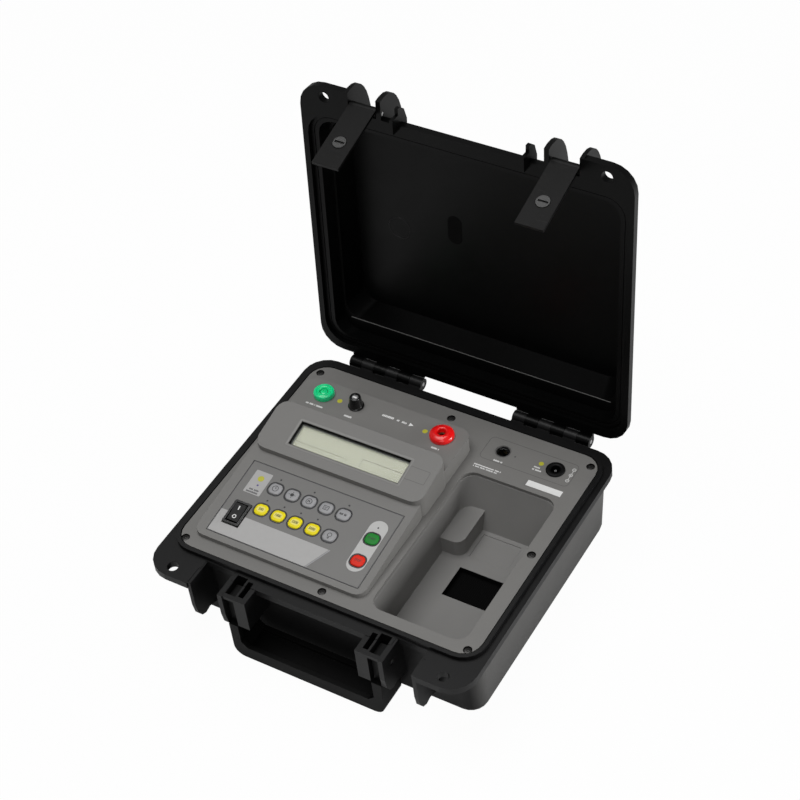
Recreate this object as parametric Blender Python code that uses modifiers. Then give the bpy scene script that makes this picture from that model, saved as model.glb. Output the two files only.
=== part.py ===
"""Insulation resistance tester in a clamshell case, lid open at its stop.

X runs to the right, Y from the front to the hinges, Z up. The origin is the
centre of the case's flat underside. Lengths are in millimetres and are
turned into metres where meshes are made.
"""
import math

import bmesh
import bpy
from mathutils import Matrix, Vector

MM = 0.001
GAP = 0.3                       # room between pieces that touch

# Circuit board in the base
BOARD_HEIGHT = 52.0
BOARD_POSTS = [(x, y) for x in (-102.0, 18.0) for y in (-76.0, 62.0)]

# Case, outside sizes
CASE_WIDTH = 274.0              # across the rim
CASE_HEIGHT = 106.2             # with the lid shut
RIM_FRONT = -115.0              # base rim between the latches
RIM_AT_LATCH = -107.5           # base rim behind a latch
LID_RIM_FRONT = -116.5
RIM_BACK = 117.0
FLANGE_FRONT = -132.0           # front edge of the padlock flanges
FLANGE_INSIDE = 97.0            # where a padlock flange ends
RIM_HEIGHT = 68.4               # split between base and lid
RIM_THICK = 6.0
WALL = 3.0
BODY_HALF = 131.0
BODY_FRONT = -104.5
BODY_BACK = 112.0
DRAFT = 3.0
CORNER_RADIUS = 20.0
PADLOCK_HOLE = (115.6, -122.7, 4.5)       # x, y, radius

# Lid walls as (left, right, front, back), each at the bottom and at the top
SKIRT_LOW = (-131.0, 131.0, -107.5, 112.0)
SKIRT_HIGH = (-125.3, 125.3, -102.0, 107.5)
SKIRT_TOP = 85.3
CROWN_LOW = (-125.6, 125.6, -103.0, 96.5)
CROWN_HIGH = (-118.7, 118.7, -94.0, 90.0)
CROWN_FOOT = 82.0
LEDGE_HIGH = (-122.3, 122.3, -98.5, 104.0)
LEDGE_HEIGHT = 82.7
CEILING_LOW = (-123.0, 123.0, -100.0, 95.9)
CEILING_HIGH = (-116.2, 116.2, -91.5, 87.4)
CEILING = 103.7
GROOVE_TOP = 73.6

# Hinge
HINGE_Y = 124.3
HINGE_Z = 66.9
LID_OPEN = 95.0                 # degrees from shut, the photo's pose
BARREL_RADIUS = 5.0
BARREL_START = 41.0
BARREL_END = 108.0
KNUCKLES = 6
HINGE_PIN_RADIUS = 1.7

# Instrument panel
PANEL_TOP = 71.7
PANEL_THICK = 3.0
PANEL_HALF = 128.0
PANEL_FRONT = -102.5
PANEL_BACK = 106.0
PANEL_RADIUS = 15.0
SCREW_X = 121.1
SCREW_Y = 96.8
POST_RADIUS = 3.0
TONGUE_GAP = 0.8
TONGUE_WIDTH = 3.0
TONGUE_TOP = 71.9

# Raised pod on the panel: sloped keypad, display housing, socket shelf
POD_LEFT = -117.5
POD_RIGHT = 31.0
POD_FRONT = -91.5
KEYPAD_BACK = -6.5
KEYPAD_RISE = 0.1176            # slope of the keypad
KEYPAD_AT_ZERO = 14.6           # its height above the panel at y = 0
DISPLAY_BACK = 38.0
DISPLAY_RISE = 0.193
DISPLAY_AT_ZERO = 19.5
SHELF_BACK = 79.0
SHELF_HEIGHT = 15.0
POD_WALL = 2.5

# Storage well
WELL = (37.0, 115.5, -93.0, 54.5)         # left, right, front, back at the top
WELL_FLOOR = (40.0, 112.5, -90.0, 37.0)
WELL_DEPTH = 42.0
WELL_RADIUS = 10.0
WELL_WALL = 2.2
POCKET = (60.0, 97.5, -32.0, -3.0)
POCKET_DEPTH = 8.0

# Keys on the sloped keypad, plan positions
KEY_SIZE = (10.8, 9.8)
KEY_FIRST_X = -78.8
KEY_PITCH = 15.12
KEY_ROW_BACK = -33.8
KEY_ROW_FRONT = -54.6
KEY_RIGHT_X = 12.5
KEY_START_Y = -44.3
KEY_STOP_Y = -65.3
KEY_TRAVEL_ROOM = 1.2
ROCKER_AT = (-94.2, -65.0)
ROCKER_SIZE = (14.3, 21.5)
OVERLAY = (-108.7, 24.8, -86.3, -16.6)
OVERLAY_THICK = 0.7

# Display
WINDOW = (-90.0, 7.5, 3.6, 25.6)

# Sockets on the shelf and ports on the panel
SOCKET_Y = 64.8
EARTH_X = -95.5
GUARD_X = -66.0
OUTPUT_X = 11.0
COMMS_AT = (53.6, 82.6)
DC_AT = (98.7, 82.3)
LABEL_AT = (99.6, 61.8)
LABEL_SIZE = (29.0, 5.6)

# Latches, in the lid's shut position
LATCH_CENTRE = 82.6
LATCH_WIDTH = 22.4
LATCH_PIVOT = (-120.6, 71.6)              # y, z
LATCH_LENGTH = 58.5
LATCH_LEAN = 18.6               # degrees towards the case
LATCH_ROLL = 3.5                # radius of the rolled top
LATCH_OUT = 3.2                 # outer face in front of the pivot
LATCH_THICK = 2.4
COIN_LOCK_DOWN = 36.0           # from the pivot along the plate
COIN_LOCK_RADIUS = 5.4
EAR_OUTER = (94.4, 97.6)
EAR_INNER = (66.6, 70.6)

# Handle
ARM = (57.8, 65.8)              # inside and outside of an arm
ARM_ROOM = (-126.5, -108.5)     # front and back of the slot it turns in
HANDLE_PIVOT = (-119.0, 55.0)
HANDLE_FRONT = -130.5
HANDLE_BACK = -105.5
HANDLE_BOTTOM = 2.0
GRIP_THICK = 12.0
HANDLE_PIN_RADIUS = 2.0
BRACKET_INSIDE = 47.0
TAB_SLOT = (51.2, 55.6)

scene = bpy.context.scene
for old in list(scene.objects):
    bpy.data.objects.remove(old, do_unlink=True)
parts = bpy.data.collections.new("insulation_tester")
cutters = bpy.data.collections.new("cutters")
scene.collection.children.link(parts)
scene.collection.children.link(cutters)


def make_material(name, colour, roughness, metallic=0.0):
    """Plain Principled material."""
    material = bpy.data.materials.new(name)
    material.use_nodes = True
    shader = material.node_tree.nodes["Principled BSDF"]
    shader.inputs["Base Color"].default_value = (*colour, 1.0)
    shader.inputs["Roughness"].default_value = roughness
    shader.inputs["Metallic"].default_value = metallic
    return material


CASE_BLACK = make_material("case_black", (0.022, 0.023, 0.024), 0.5)
PANEL_GREY = make_material("panel_grey", (0.26, 0.255, 0.245), 0.55)
OVERLAY_GREY = make_material("overlay_grey", (0.21, 0.21, 0.225), 0.45)
RUBBER_BLACK = make_material("rubber_black", (0.012, 0.012, 0.012), 0.75)
KEY_GREY = make_material("key_grey", (0.42, 0.42, 0.43), 0.5)
KEY_YELLOW = make_material("key_yellow", (0.9, 0.8, 0.03), 0.45)
KEY_GREEN = make_material("key_green", (0.02, 0.28, 0.04), 0.45)
KEY_RED = make_material("key_red", (0.75, 0.02, 0.01), 0.45)
SOCKET_GREEN = make_material("socket_green", (0.0, 0.55, 0.2), 0.35)
SOCKET_RED = make_material("socket_red", (0.85, 0.01, 0.01), 0.35)
GLOSS_BLACK = make_material("gloss_black", (0.01, 0.01, 0.01), 0.25)
METAL = make_material("metal", (0.7, 0.7, 0.7), 0.3, 1.0)
BRASS = make_material("brass", (0.78, 0.6, 0.28), 0.3, 1.0)
DISPLAY_GREEN = make_material("display_green", (0.52, 0.56, 0.42), 0.25)
CLEAR = make_material("clear", (0.9, 0.95, 0.93), 0.05)
BOARD_GREEN = make_material("board_green", (0.02, 0.16, 0.06), 0.5)
LABEL_WHITE = make_material("label_white", (0.85, 0.85, 0.85), 0.6)
CELL_BLUE = make_material("cell_blue", (0.05, 0.12, 0.4), 0.4)
POTTING = make_material("potting", (0.05, 0.05, 0.06), 0.4)


def add_mesh_object(name, mesh, material=None, parent=None):
    """Link a mesh as a named object, a part when it has a material."""
    obj = bpy.data.objects.new(name, mesh)
    if material is None:
        cutters.objects.link(obj)
        obj.hide_render = True
        obj.display_type = "WIRE"
    else:
        parts.objects.link(obj)
        obj.data.materials.clear()
        obj.data.materials.append(material)
    if parent is not None:
        obj.parent = parent
        obj.location = -Vector(parent["built_at"])
    return obj


def finish_bmesh(bm, name, material=None, parent=None, smooth=False):
    """Scale a bmesh from millimetres and make it an object."""
    bmesh.ops.recalc_face_normals(bm, faces=bm.faces)
    bmesh.ops.scale(bm, vec=(MM, MM, MM), verts=bm.verts)
    mesh = bpy.data.meshes.new(name)
    bm.to_mesh(mesh)
    bm.free()
    if smooth:
        mesh.shade_smooth()
        mesh.set_sharp_from_angle(angle=math.radians(40))
    return add_mesh_object(name, mesh, material, parent)


def add_block(bm, low, high, z, radius=0.0, segments=4, edge=0.0):
    """Add a box or frustum to a bmesh.

    low and high are (left, right, front, back) at the bottom and the top;
    z is (bottom, top) or (bottom, top at the front, top at the back).
    radius rounds the upright edges and edge rounds the bottom ones.
    """
    cube = bmesh.ops.create_cube(bm, size=2.0)["verts"]
    top_front, top_back = z[1], z[-1]
    upright = []
    for vert in cube:
        for link in vert.link_edges:
            other = link.other_vert(vert)
            if vert.co.z < other.co.z:
                upright.append(link)
    for vert in cube:
        rect = high if vert.co.z > 0 else low
        at_back = vert.co.y > 0
        height = z[0]
        if vert.co.z > 0:
            height = top_back if at_back else top_front
        vert.co = (rect[1 if vert.co.x > 0 else 0], rect[3 if at_back else 2], height)
    if radius:
        bevelled = bmesh.ops.bevel(bm, geom=upright, offset=radius, segments=segments,
                                   profile=0.5, affect="EDGES", clamp_overlap=True)
        cube = {v for v in cube if v.is_valid} | set(bevelled["verts"])
    if edge:
        foot = [e for e in bm.edges if all(v in cube and abs(v.co.z - z[0]) < 1e-4 for v in e.verts)]
        bmesh.ops.bevel(bm, geom=foot, offset=edge, segments=3, profile=0.5,
                        affect="EDGES", clamp_overlap=True)


def block(name, low, z, high=None, radius=0.0, segments=4, edge=0.0, material=None, parent=None):
    """One box or frustum as an object."""
    bm = bmesh.new()
    add_block(bm, low, high or low, z, radius, segments, edge)
    return finish_bmesh(bm, name, material, parent)


def add_rod(bm, start, end, radius, segments=16, end_radius=None):
    """Add a cylinder or cone between two points."""
    start, end = Vector(start), Vector(end)
    turn = (end - start).to_track_quat("Z", "Y").to_matrix().to_4x4()
    place = Matrix.Translation((start + end) / 2) @ turn
    bmesh.ops.create_cone(bm, cap_ends=True, segments=segments, radius1=radius,
                          radius2=radius if end_radius is None else end_radius,
                          depth=(end - start).length, matrix=place)


def rods(name, spans, radius, segments=16, material=None, parent=None):
    """One cylinder, or a cutter of several."""
    bm = bmesh.new()
    for start, end in spans:
        add_rod(bm, start, end, radius, segments)
    return finish_bmesh(bm, name, material, parent, smooth=material is not None)


def curve_to_mesh(curve, name, material, parent):
    """Turn a curve object into a welded mesh part or cutter."""
    scene.collection.objects.link(curve)
    bpy.context.view_layer.update()
    graph = bpy.context.evaluated_depsgraph_get()
    mesh = bpy.data.meshes.new_from_object(curve.evaluated_get(graph))
    mesh.transform(curve.matrix_world)
    bpy.data.objects.remove(curve, do_unlink=True)
    bm = bmesh.new()
    bm.from_mesh(mesh)
    bmesh.ops.remove_doubles(bm, verts=bm.verts, dist=1e-6)
    bmesh.ops.recalc_face_normals(bm, faces=bm.faces)
    bm.to_mesh(mesh)
    bm.free()
    return add_mesh_object(name, mesh, material, parent)


def plate(name, outline, across, x_faces=True, material=None, parent=None):
    """A flat outline given thickness.

    With x_faces the outline is (y, z) and across is its two x values;
    without, the outline is (x, z) and across is its two y values.
    """
    data = bpy.data.curves.new(name, "CURVE")
    data.dimensions = "2D"
    data.fill_mode = "BOTH"
    data.extrude = abs(across[1] - across[0]) / 2 * MM
    spline = data.splines.new("POLY")
    spline.points.add(len(outline) - 1)
    for point, (first, second) in zip(spline.points, outline):
        point.co = (first * MM, second * MM, 0.0, 1.0)
    spline.use_cyclic_u = True
    curve = bpy.data.objects.new(name + "_outline", data)
    middle = (across[0] + across[1]) / 2 * MM
    if x_faces:
        curve.rotation_euler = (math.pi / 2, 0.0, math.pi / 2)
        curve.location.x = middle
    else:
        curve.rotation_euler = (math.pi / 2, 0.0, 0.0)
        curve.location.y = middle
    return curve_to_mesh(curve, name, material, parent)


def tube(name, points, radius, material=None):
    """A round wire through points."""
    data = bpy.data.curves.new(name, "CURVE")
    data.dimensions = "3D"
    data.bevel_depth = radius * MM
    data.bevel_resolution = 1
    data.use_fill_caps = True
    spline = data.splines.new("POLY")
    spline.points.add(len(points) - 1)
    for point, place in zip(spline.points, points):
        point.co = (place[0] * MM, place[1] * MM, place[2] * MM, 1.0)
    return curve_to_mesh(bpy.data.objects.new(name + "_path", data), name, material, None)


def turned(name, profile, at, material, steps=24):
    """A lathe shape: profile is (radius, height), down its outer side."""
    mesh = bpy.data.meshes.new(name)
    rings = [(r * MM, 0.0, z * MM) for r, z in profile]
    closed = profile[0][0] > 0 and profile[-1][0] > 0
    links = [(i, i + 1) for i in range(len(rings) - 1) if profile[i][0] or profile[i + 1][0]]
    if closed:
        links.append((len(rings) - 1, 0))
    mesh.from_pydata(rings, links, [])
    obj = add_mesh_object(name, mesh, material)
    obj.location = Vector(at) * MM
    screw = obj.modifiers.new("turn", "SCREW")
    screw.axis = "Z"
    screw.steps = steps
    screw.render_steps = steps
    screw.use_merge_vertices = True
    screw.merge_threshold = 0.00001
    screw.use_smooth_shade = True
    return obj


def boolean(target, other, operation):
    """Cut or join with EXACT; the other object becomes a hidden cutter."""
    step = target.modifiers.new(operation.lower(), "BOOLEAN")
    step.operation = operation
    step.solver = "EXACT"
    step.object = other
    return target


def cut(target, *others):
    for other in others:
        boolean(target, other, "DIFFERENCE")


def join(target, *others):
    for other in others:
        boolean(target, other, "UNION")


def grown(rect, by):
    """A (left, right, front, back) rectangle made larger on every side."""
    return (rect[0] - by, rect[1] + by, rect[2] - by, rect[3] + by)


def pivot(name, at, angle=0.0, parent=None):
    """Empty on a joint or on a sloped face, turned about X by angle degrees."""
    empty = bpy.data.objects.new(name, None)
    parts.objects.link(empty)
    empty.empty_display_size = 0.01
    place = Vector(at) * MM
    if parent is not None:
        empty.parent = parent
        place = place - Vector(parent["built_at"])
    empty.location = place
    empty.rotation_euler = (math.radians(angle), 0.0, 0.0)
    empty["built_at"] = Vector(at) * MM
    return empty


def mirrored(span, side):
    """An x span on the left (-1) or right (1) side, low value first."""
    return tuple(sorted((span[0] * side, span[1] * side)))


def barrel_spans(first):
    """The x spans of every other hinge knuckle, starting with the given one."""
    length = (BARREL_END - BARREL_START) / KNUCKLES
    for side in (-1, 1):
        for index in range(first, KNUCKLES, 2):
            start = BARREL_START + index * length
            yield mirrored((start + GAP / 2, start + length - GAP / 2), side)


SIDES = ((-1, "left"), (1, "right"))
FLANGE = (-CASE_WIDTH / 2, CASE_WIDTH / 2, FLANGE_FRONT, RIM_BACK)
PANEL = (-PANEL_HALF, PANEL_HALF, PANEL_FRONT, PANEL_BACK)
TONGUE = grown(PANEL, TONGUE_GAP)
BODY = (-BODY_HALF, BODY_HALF, BODY_FRONT, BODY_BACK)
SCREWS = [(x, y) for x in (-SCREW_X, 0.0, SCREW_X) for y in (-SCREW_Y, 0.0, SCREW_Y)
          if (x, y) != (0.0, 0.0)]
LID_HINGE = pivot("lid_hinge_axis", (0.0, HINGE_Y, HINGE_Z), -LID_OPEN)
LID_HINGE["built_at"] = Vector((0.0, HINGE_Y, HINGE_Z)) * MM


def rim_plate(name, z, front, parent=None, material=None):
    """The rim with its two padlock flanges, cut back between them."""
    rim = block(name, FLANGE, z, radius=CORNER_RADIUS, segments=5, material=material, parent=parent)
    bay = block(name + "_bay", (-FLANGE_INSIDE, FLANGE_INSIDE, FLANGE_FRONT - 5, front),
                (z[0] - 1, z[1] + 1), parent=parent)
    cut(rim, bay)
    return rim


def padlock_holes(name, z, parent=None):
    x, y, radius = PADLOCK_HOLE
    return rods(name, [((s * x, y, z[0]), (s * x, y, z[1])) for s in (-1, 1)], radius, 20,
                parent=parent)


def base_fin_outline(depth):
    """Side view of a fin below the rim, ending in a rounded point."""
    top = RIM_HEIGHT - 0.4
    bottom = RIM_HEIGHT - depth
    return [(BODY_FRONT + 1.5, top), (-131.0, top), (-131.0, bottom + 18), (-129.5, bottom + 8),
            (-126.0, bottom + 2), (-121.5, bottom), (-116.0, bottom + 1.5), (BODY_FRONT + 3.6, bottom - 4)]


def build_base_shell():
    """Moulded base: tub, rim, tongue, fins, handle brackets, knuckles, bosses."""
    foot = (-BODY_HALF + DRAFT, BODY_HALF - DRAFT, BODY_FRONT + DRAFT, BODY_BACK - DRAFT)
    shell = block("base_shell", foot, (0.0, RIM_HEIGHT - 1), high=BODY, radius=CORNER_RADIUS - 6,
                  segments=5, edge=6.0, material=CASE_BLACK)
    rim_z = (RIM_HEIGHT - RIM_THICK, RIM_HEIGHT)
    rim = rim_plate("base_rim", rim_z, RIM_FRONT)
    for side, label in SIDES:
        notch = mirrored((EAR_INNER[1] - 2, EAR_OUTER[0] + 1), side)
        cut(rim, block("rim_notch_" + label, (*notch, RIM_FRONT - 3, RIM_AT_LATCH),
                       (rim_z[0] - 2, rim_z[1] + 2)))
    tongue = block("base_tongue", grown(TONGUE, TONGUE_WIDTH), (RIM_HEIGHT - 2, TONGUE_TOP),
                   radius=PANEL_RADIUS + 3.5, segments=5)
    join(shell, rim, tongue)
    cavity = block("base_cavity", grown(foot, -WALL), (3.5, RIM_HEIGHT - RIM_THICK),
                   high=grown(BODY, -WALL), radius=CORNER_RADIUS - 9, segments=4)
    mouth = block("base_mouth", grown(PANEL, -3.0), (RIM_HEIGHT - RIM_THICK - 1, TONGUE_TOP + 1),
                  radius=PANEL_RADIUS - 3, segments=4)
    seat = block("panel_seat", TONGUE, (RIM_HEIGHT, TONGUE_TOP + 1), radius=PANEL_RADIUS + 0.8,
                 segments=5)
    cut(shell, cavity, mouth, seat)

    for side, label in SIDES:
        join(shell, plate("fin_outer_" + label, base_fin_outline(44.0), mirrored(EAR_OUTER, side)))
        join(shell, plate("fin_inner_" + label, base_fin_outline(40.0), mirrored(EAR_INNER, side)))
        across = mirrored((BRACKET_INSIDE, EAR_INNER[0] + 1), side)
        bracket = block("bracket_" + label, (*across, -130.0, BODY_FRONT + 2), (38.0, RIM_HEIGHT - 0.6))
        join(shell, bracket)
        bm = bmesh.new()
        arm_room = mirrored((ARM[0] - 0.5, ARM[1] + 0.5), side)
        add_block(bm, (*arm_room, *ARM_ROOM), (*arm_room, *ARM_ROOM), (36.0, RIM_HEIGHT + 1))
        slot = finish_bmesh(bm, "arm_slot_" + label)
        mouth_slot = block("arm_mouth_" + label, (*arm_room, -133.0, -120.0), (36.0, 65.0))
        tab_room = mirrored(TAB_SLOT, side)
        tab_slot = block("tab_slot_" + label, (*tab_room, -125.5, -110.5), (52.0, RIM_HEIGHT + 1))
        cut(shell, slot, mouth_slot, tab_slot)

    webs = bmesh.new()
    for left, right in barrel_spans(0):
        add_rod(webs, (left, HINGE_Y, HINGE_Z), (right, HINGE_Y, HINGE_Z), BARREL_RADIUS, 20)
    barrels = finish_bmesh(webs, "base_barrels")
    arms = bmesh.new()
    for left, right in barrel_spans(0):
        rect = (left, right, RIM_BACK - 2, HINGE_Y)
        add_block(arms, rect, rect, (HINGE_Z - BARREL_RADIUS + 0.4, HINGE_Z + 0.9))
    join(shell, finish_bmesh(arms, "base_webs"), barrels)

    posts = bmesh.new()
    for x, y in SCREWS:
        foot_z = 24.0 if x and y else 2.0
        add_rod(posts, (x, y, foot_z), (x, y, RIM_HEIGHT - 0.2), POST_RADIUS, 12)
    for x, y in BOARD_POSTS:
        add_rod(posts, (x, y, 2.0), (x, y, BOARD_HEIGHT - GAP), POST_RADIUS, 12)
    join(shell, finish_bmesh(posts, "screw_posts"))
    bm = bmesh.new()
    for x, y in SCREWS:
        add_rod(bm, (x, y, RIM_HEIGHT - 14), (x, y, TONGUE_TOP + 1), 1.6, 10)
    for side in (-1, 1):
        add_rod(bm, (side * (BARREL_START - 1), HINGE_Y, HINGE_Z),
                (side * (BARREL_END + 1), HINGE_Y, HINGE_Z), HINGE_PIN_RADIUS + GAP, 14)
        add_rod(bm, (side * (ARM[0] - 3.2), *HANDLE_PIVOT), (side * (EAR_INNER[1] + 1), *HANDLE_PIVOT),
                HANDLE_PIN_RADIUS + GAP, 14)
    cut(shell, finish_bmesh(bm, "base_bores"), padlock_holes("base_padlock", (50.0, 75.0)))
    return shell


def pod_height(y, at_zero, rise):
    """Height of one of the pod's sloped faces at a depth y."""
    return PANEL_TOP + at_zero + rise * y


def build_front_panel():
    """Panel plate with the hollow pod moulded in one piece with it."""
    under = PANEL_TOP - PANEL_THICK
    panel = block("front_panel", PANEL, (under, PANEL_TOP), radius=PANEL_RADIUS, segments=5,
                  material=PANEL_GREY)
    keypad = block("pod_keypad", (POD_LEFT, POD_RIGHT, POD_FRONT, 2.0),
                   (under + 0.4, pod_height(POD_FRONT, KEYPAD_AT_ZERO, KEYPAD_RISE),
                    pod_height(2.0, KEYPAD_AT_ZERO, KEYPAD_RISE)), radius=8.0)
    shelf = block("pod_shelf", (POD_LEFT + 0.4, POD_RIGHT - 0.4, 18.0, SHELF_BACK),
                  (under + 0.6, PANEL_TOP + SHELF_HEIGHT), radius=10.0)
    display = block("pod_display", (POD_LEFT + 1.5, POD_RIGHT + 0.7, KEYPAD_BACK, DISPLAY_BACK),
                    (under + 0.8, pod_height(KEYPAD_BACK, DISPLAY_AT_ZERO, DISPLAY_RISE),
                     pod_height(DISPLAY_BACK, DISPLAY_AT_ZERO, DISPLAY_RISE)), radius=9.0)
    join(panel, keypad, shelf, display)
    wall = POD_WALL
    front, back = POD_FRONT + wall, SHELF_BACK - wall
    step_front, step_back = KEYPAD_BACK + wall, DISPLAY_BACK - wall
    hollow = [(front, under - 1), (back, under - 1), (back, PANEL_TOP + SHELF_HEIGHT - wall),
              (step_back, PANEL_TOP + SHELF_HEIGHT - wall),
              (step_back, pod_height(step_back, DISPLAY_AT_ZERO, DISPLAY_RISE) - wall),
              (step_front, pod_height(step_front, DISPLAY_AT_ZERO, DISPLAY_RISE) - wall),
              (step_front, pod_height(step_front, KEYPAD_AT_ZERO, KEYPAD_RISE) - wall),
              (front, pod_height(front, KEYPAD_AT_ZERO, KEYPAD_RISE) - wall)]
    cut(panel, plate("pod_hollow", hollow, (POD_LEFT + 8.0, POD_RIGHT - 3.0)))

    bm = bmesh.new()
    add_block(bm, WELL, WELL, (under - 1, PANEL_TOP + 1), WELL_RADIUS, 5)
    cut(panel, finish_bmesh(bm, "well_opening"))
    bm = bmesh.new()
    for x, y in SCREWS:
        add_rod(bm, (x, y, PANEL_TOP - 1.7), (x, y, PANEL_TOP + 0.8), 3.4, 16)
    screw_seats = finish_bmesh(bm, "screw_seats")
    bm = bmesh.new()
    for x, y in SCREWS:
        add_rod(bm, (x, y, under - 1), (x, y, PANEL_TOP + 0.5), 1.7, 10)
    add_rod(bm, (*COMMS_AT, under - 1), (*COMMS_AT, PANEL_TOP + 1), 5.6, 20)
    add_rod(bm, (*DC_AT, under - 1), (*DC_AT, PANEL_TOP + 1), 5.6, 20)
    for x, radius in ((EARTH_X, 6.3), (GUARD_X, 5.3), (OUTPUT_X, 7.3)):
        add_rod(bm, (x, SOCKET_Y, PANEL_TOP + 8), (x, SOCKET_Y, PANEL_TOP + SHELF_HEIGHT + 1), radius, 20)
    window_height = PANEL_TOP + DISPLAY_AT_ZERO
    add_block(bm, WINDOW, WINDOW, (window_height - 10, window_height + 12))
    cut(panel, screw_seats, finish_bmesh(bm, "panel_holes"))

    bm = bmesh.new()
    add_block(bm, KEY_FIELD, KEY_FIELD, (KEYPAD_MIDDLE - 8, KEYPAD_MIDDLE + 2), 2.0, 2)
    add_block(bm, START_FIELD, START_FIELD, (KEYPAD_MIDDLE - 8, KEYPAD_MIDDLE + 2), 2.0, 2)
    rocker = centred(ROCKER_AT, (ROCKER_SIZE[0] - 1.4, ROCKER_SIZE[1] - 1.4))
    add_block(bm, rocker, rocker, (KEYPAD_MIDDLE - 12, KEYPAD_MIDDLE + 2))
    cut(panel, finish_bmesh(bm, "key_fields", parent=KEYPAD_PLANE))
    recess = block("overlay_recess", grown(OVERLAY, GAP),
                   (KEYPAD_MIDDLE - OVERLAY_THICK - GAP, KEYPAD_MIDDLE + 2), parent=KEYPAD_PLANE)
    cut(panel, recess)
    return panel


def centred(at, size):
    """A rectangle around a point."""
    return (at[0] - size[0] / 2, at[0] + size[0] / 2, at[1] - size[1] / 2, at[1] + size[1] / 2)


KEYPAD_CENTRE_Y = -48.5
KEYPAD_MIDDLE = pod_height(KEYPAD_CENTRE_Y, KEYPAD_AT_ZERO, KEYPAD_RISE)
KEYPAD_PLANE = pivot("keypad_plane", (0.0, KEYPAD_CENTRE_Y, KEYPAD_MIDDLE),
                     math.degrees(math.atan(KEYPAD_RISE)))
DISPLAY_CENTRE_Y = (WINDOW[2] + WINDOW[3]) / 2
DISPLAY_MIDDLE = pod_height(DISPLAY_CENTRE_Y, DISPLAY_AT_ZERO, DISPLAY_RISE)
DISPLAY_PLANE = pivot("display_plane", (0.0, DISPLAY_CENTRE_Y, DISPLAY_MIDDLE),
                      math.degrees(math.atan(DISPLAY_RISE)))
ROW_BACK = [(f"key_back_{i + 1}", (KEY_FIRST_X + i * KEY_PITCH, KEY_ROW_BACK), KEY_GREY)
            for i in range(5)]
ROW_FRONT = [(f"key_front_{i + 1}", (KEY_FIRST_X + i * KEY_PITCH, KEY_ROW_FRONT),
              KEY_YELLOW if i < 4 else KEY_GREY) for i in range(5)]
KEYS = ROW_BACK + ROW_FRONT + [("key_start", (KEY_RIGHT_X, KEY_START_Y), KEY_GREEN),
                               ("key_stop", (KEY_RIGHT_X, KEY_STOP_Y), KEY_RED)]
KEY_FIELD = (KEY_FIRST_X - 7.5, KEY_FIRST_X + 4 * KEY_PITCH + 7.5, KEY_ROW_FRONT - 7.0,
             KEY_ROW_BACK + 7.0)
START_FIELD = (KEY_RIGHT_X - 7.5, KEY_RIGHT_X + 7.5, KEY_STOP_Y - 7.0, KEY_START_Y + 7.0)


def build_keypad():
    """Front film, twelve keys that travel, and the board under them."""
    top = KEYPAD_MIDDLE
    overlay = block("keypad_overlay", OVERLAY, (top - OVERLAY_THICK, top), radius=0.8, segments=2,
                    material=OVERLAY_GREY, parent=KEYPAD_PLANE)
    bm = bmesh.new()
    for _, at, _ in KEYS:
        hole = centred(at, (KEY_SIZE[0] + 2 * GAP, KEY_SIZE[1] + 2 * GAP))
        add_block(bm, hole, hole, (top - 2, top + 2), 4.1, 3)
    rocker = centred(ROCKER_AT, (ROCKER_SIZE[0] + 2 * GAP, ROCKER_SIZE[1] + 2 * GAP))
    add_block(bm, rocker, rocker, (top - 2, top + 2))
    cut(overlay, finish_bmesh(bm, "key_holes", parent=KEYPAD_PLANE))
    for name, at, material in KEYS:
        block(name, centred(at, KEY_SIZE), (top - 2.2, top + 0.9),
              high=centred(at, (KEY_SIZE[0] - 0.8, KEY_SIZE[1] - 0.8)), radius=3.8, segments=3,
              material=material, parent=KEYPAD_PLANE)
    board = block("keypad_board", (KEY_FIELD[0] - 1, START_FIELD[1] + 3, -77.0, -24.0),
                  (top - 6.0, top - 4.6), material=BOARD_GREEN, parent=KEYPAD_PLANE)
    domes = bmesh.new()
    for _, at, _ in KEYS:
        add_rod(domes, (*at, top - 4.8), (*at, top - 2.2 - KEY_TRAVEL_ROOM), 3.0, 10, 2.2)
    join(board, finish_bmesh(domes, "key_domes", parent=KEYPAD_PLANE))


def build_rocker():
    """Panel-mounted rocker switch: frame with its body, and the paddle."""
    top = KEYPAD_MIDDLE
    outer = centred(ROCKER_AT, ROCKER_SIZE)
    frame = block("rocker_frame", outer, (top - OVERLAY_THICK + 0.1, top + 1.6), radius=1.0,
                  segments=2, material=GLOSS_BLACK, parent=KEYPAD_PLANE)
    body = grown(outer, -1.2)
    join(frame, block("rocker_body", body, (top - 11.0, top), parent=KEYPAD_PLANE))
    cut(frame, block("rocker_well", grown(outer, -1.9), (top - 7.5, top + 3), parent=KEYPAD_PLANE))
    y = ROCKER_AT[1]
    half = ROCKER_SIZE[1] / 2 - 3.2
    side = [(y - half, top + 0.9), (y - half, top - 2.2), (y - 3.0, top - 6.2), (y + 3.0, top - 6.2),
            (y + half, top - 1.6), (y + half, top + 3.2), (y + 1.0, top + 1.8)]
    width = ROCKER_SIZE[0] / 2 - 2.3
    plate("rocker", side, (ROCKER_AT[0] - width, ROCKER_AT[0] + width), material=CASE_BLACK,
          parent=KEYPAD_PLANE)


def build_display():
    """Clear window and the display module behind it."""
    top = DISPLAY_MIDDLE
    opening = grown(WINDOW, -GAP)
    block("display_window", opening, (top - 4.4, top - 3.2), material=CLEAR, parent=DISPLAY_PLANE)
    module = block("display_module", grown(WINDOW, 4.0), (top - 12.5, top - 7.0),
                   material=DISPLAY_GREEN, parent=DISPLAY_PLANE)
    join(module, block("display_glass", grown(WINDOW, -1.0), (top - 8.0, top - 4.8),
                       parent=DISPLAY_PLANE))


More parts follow.
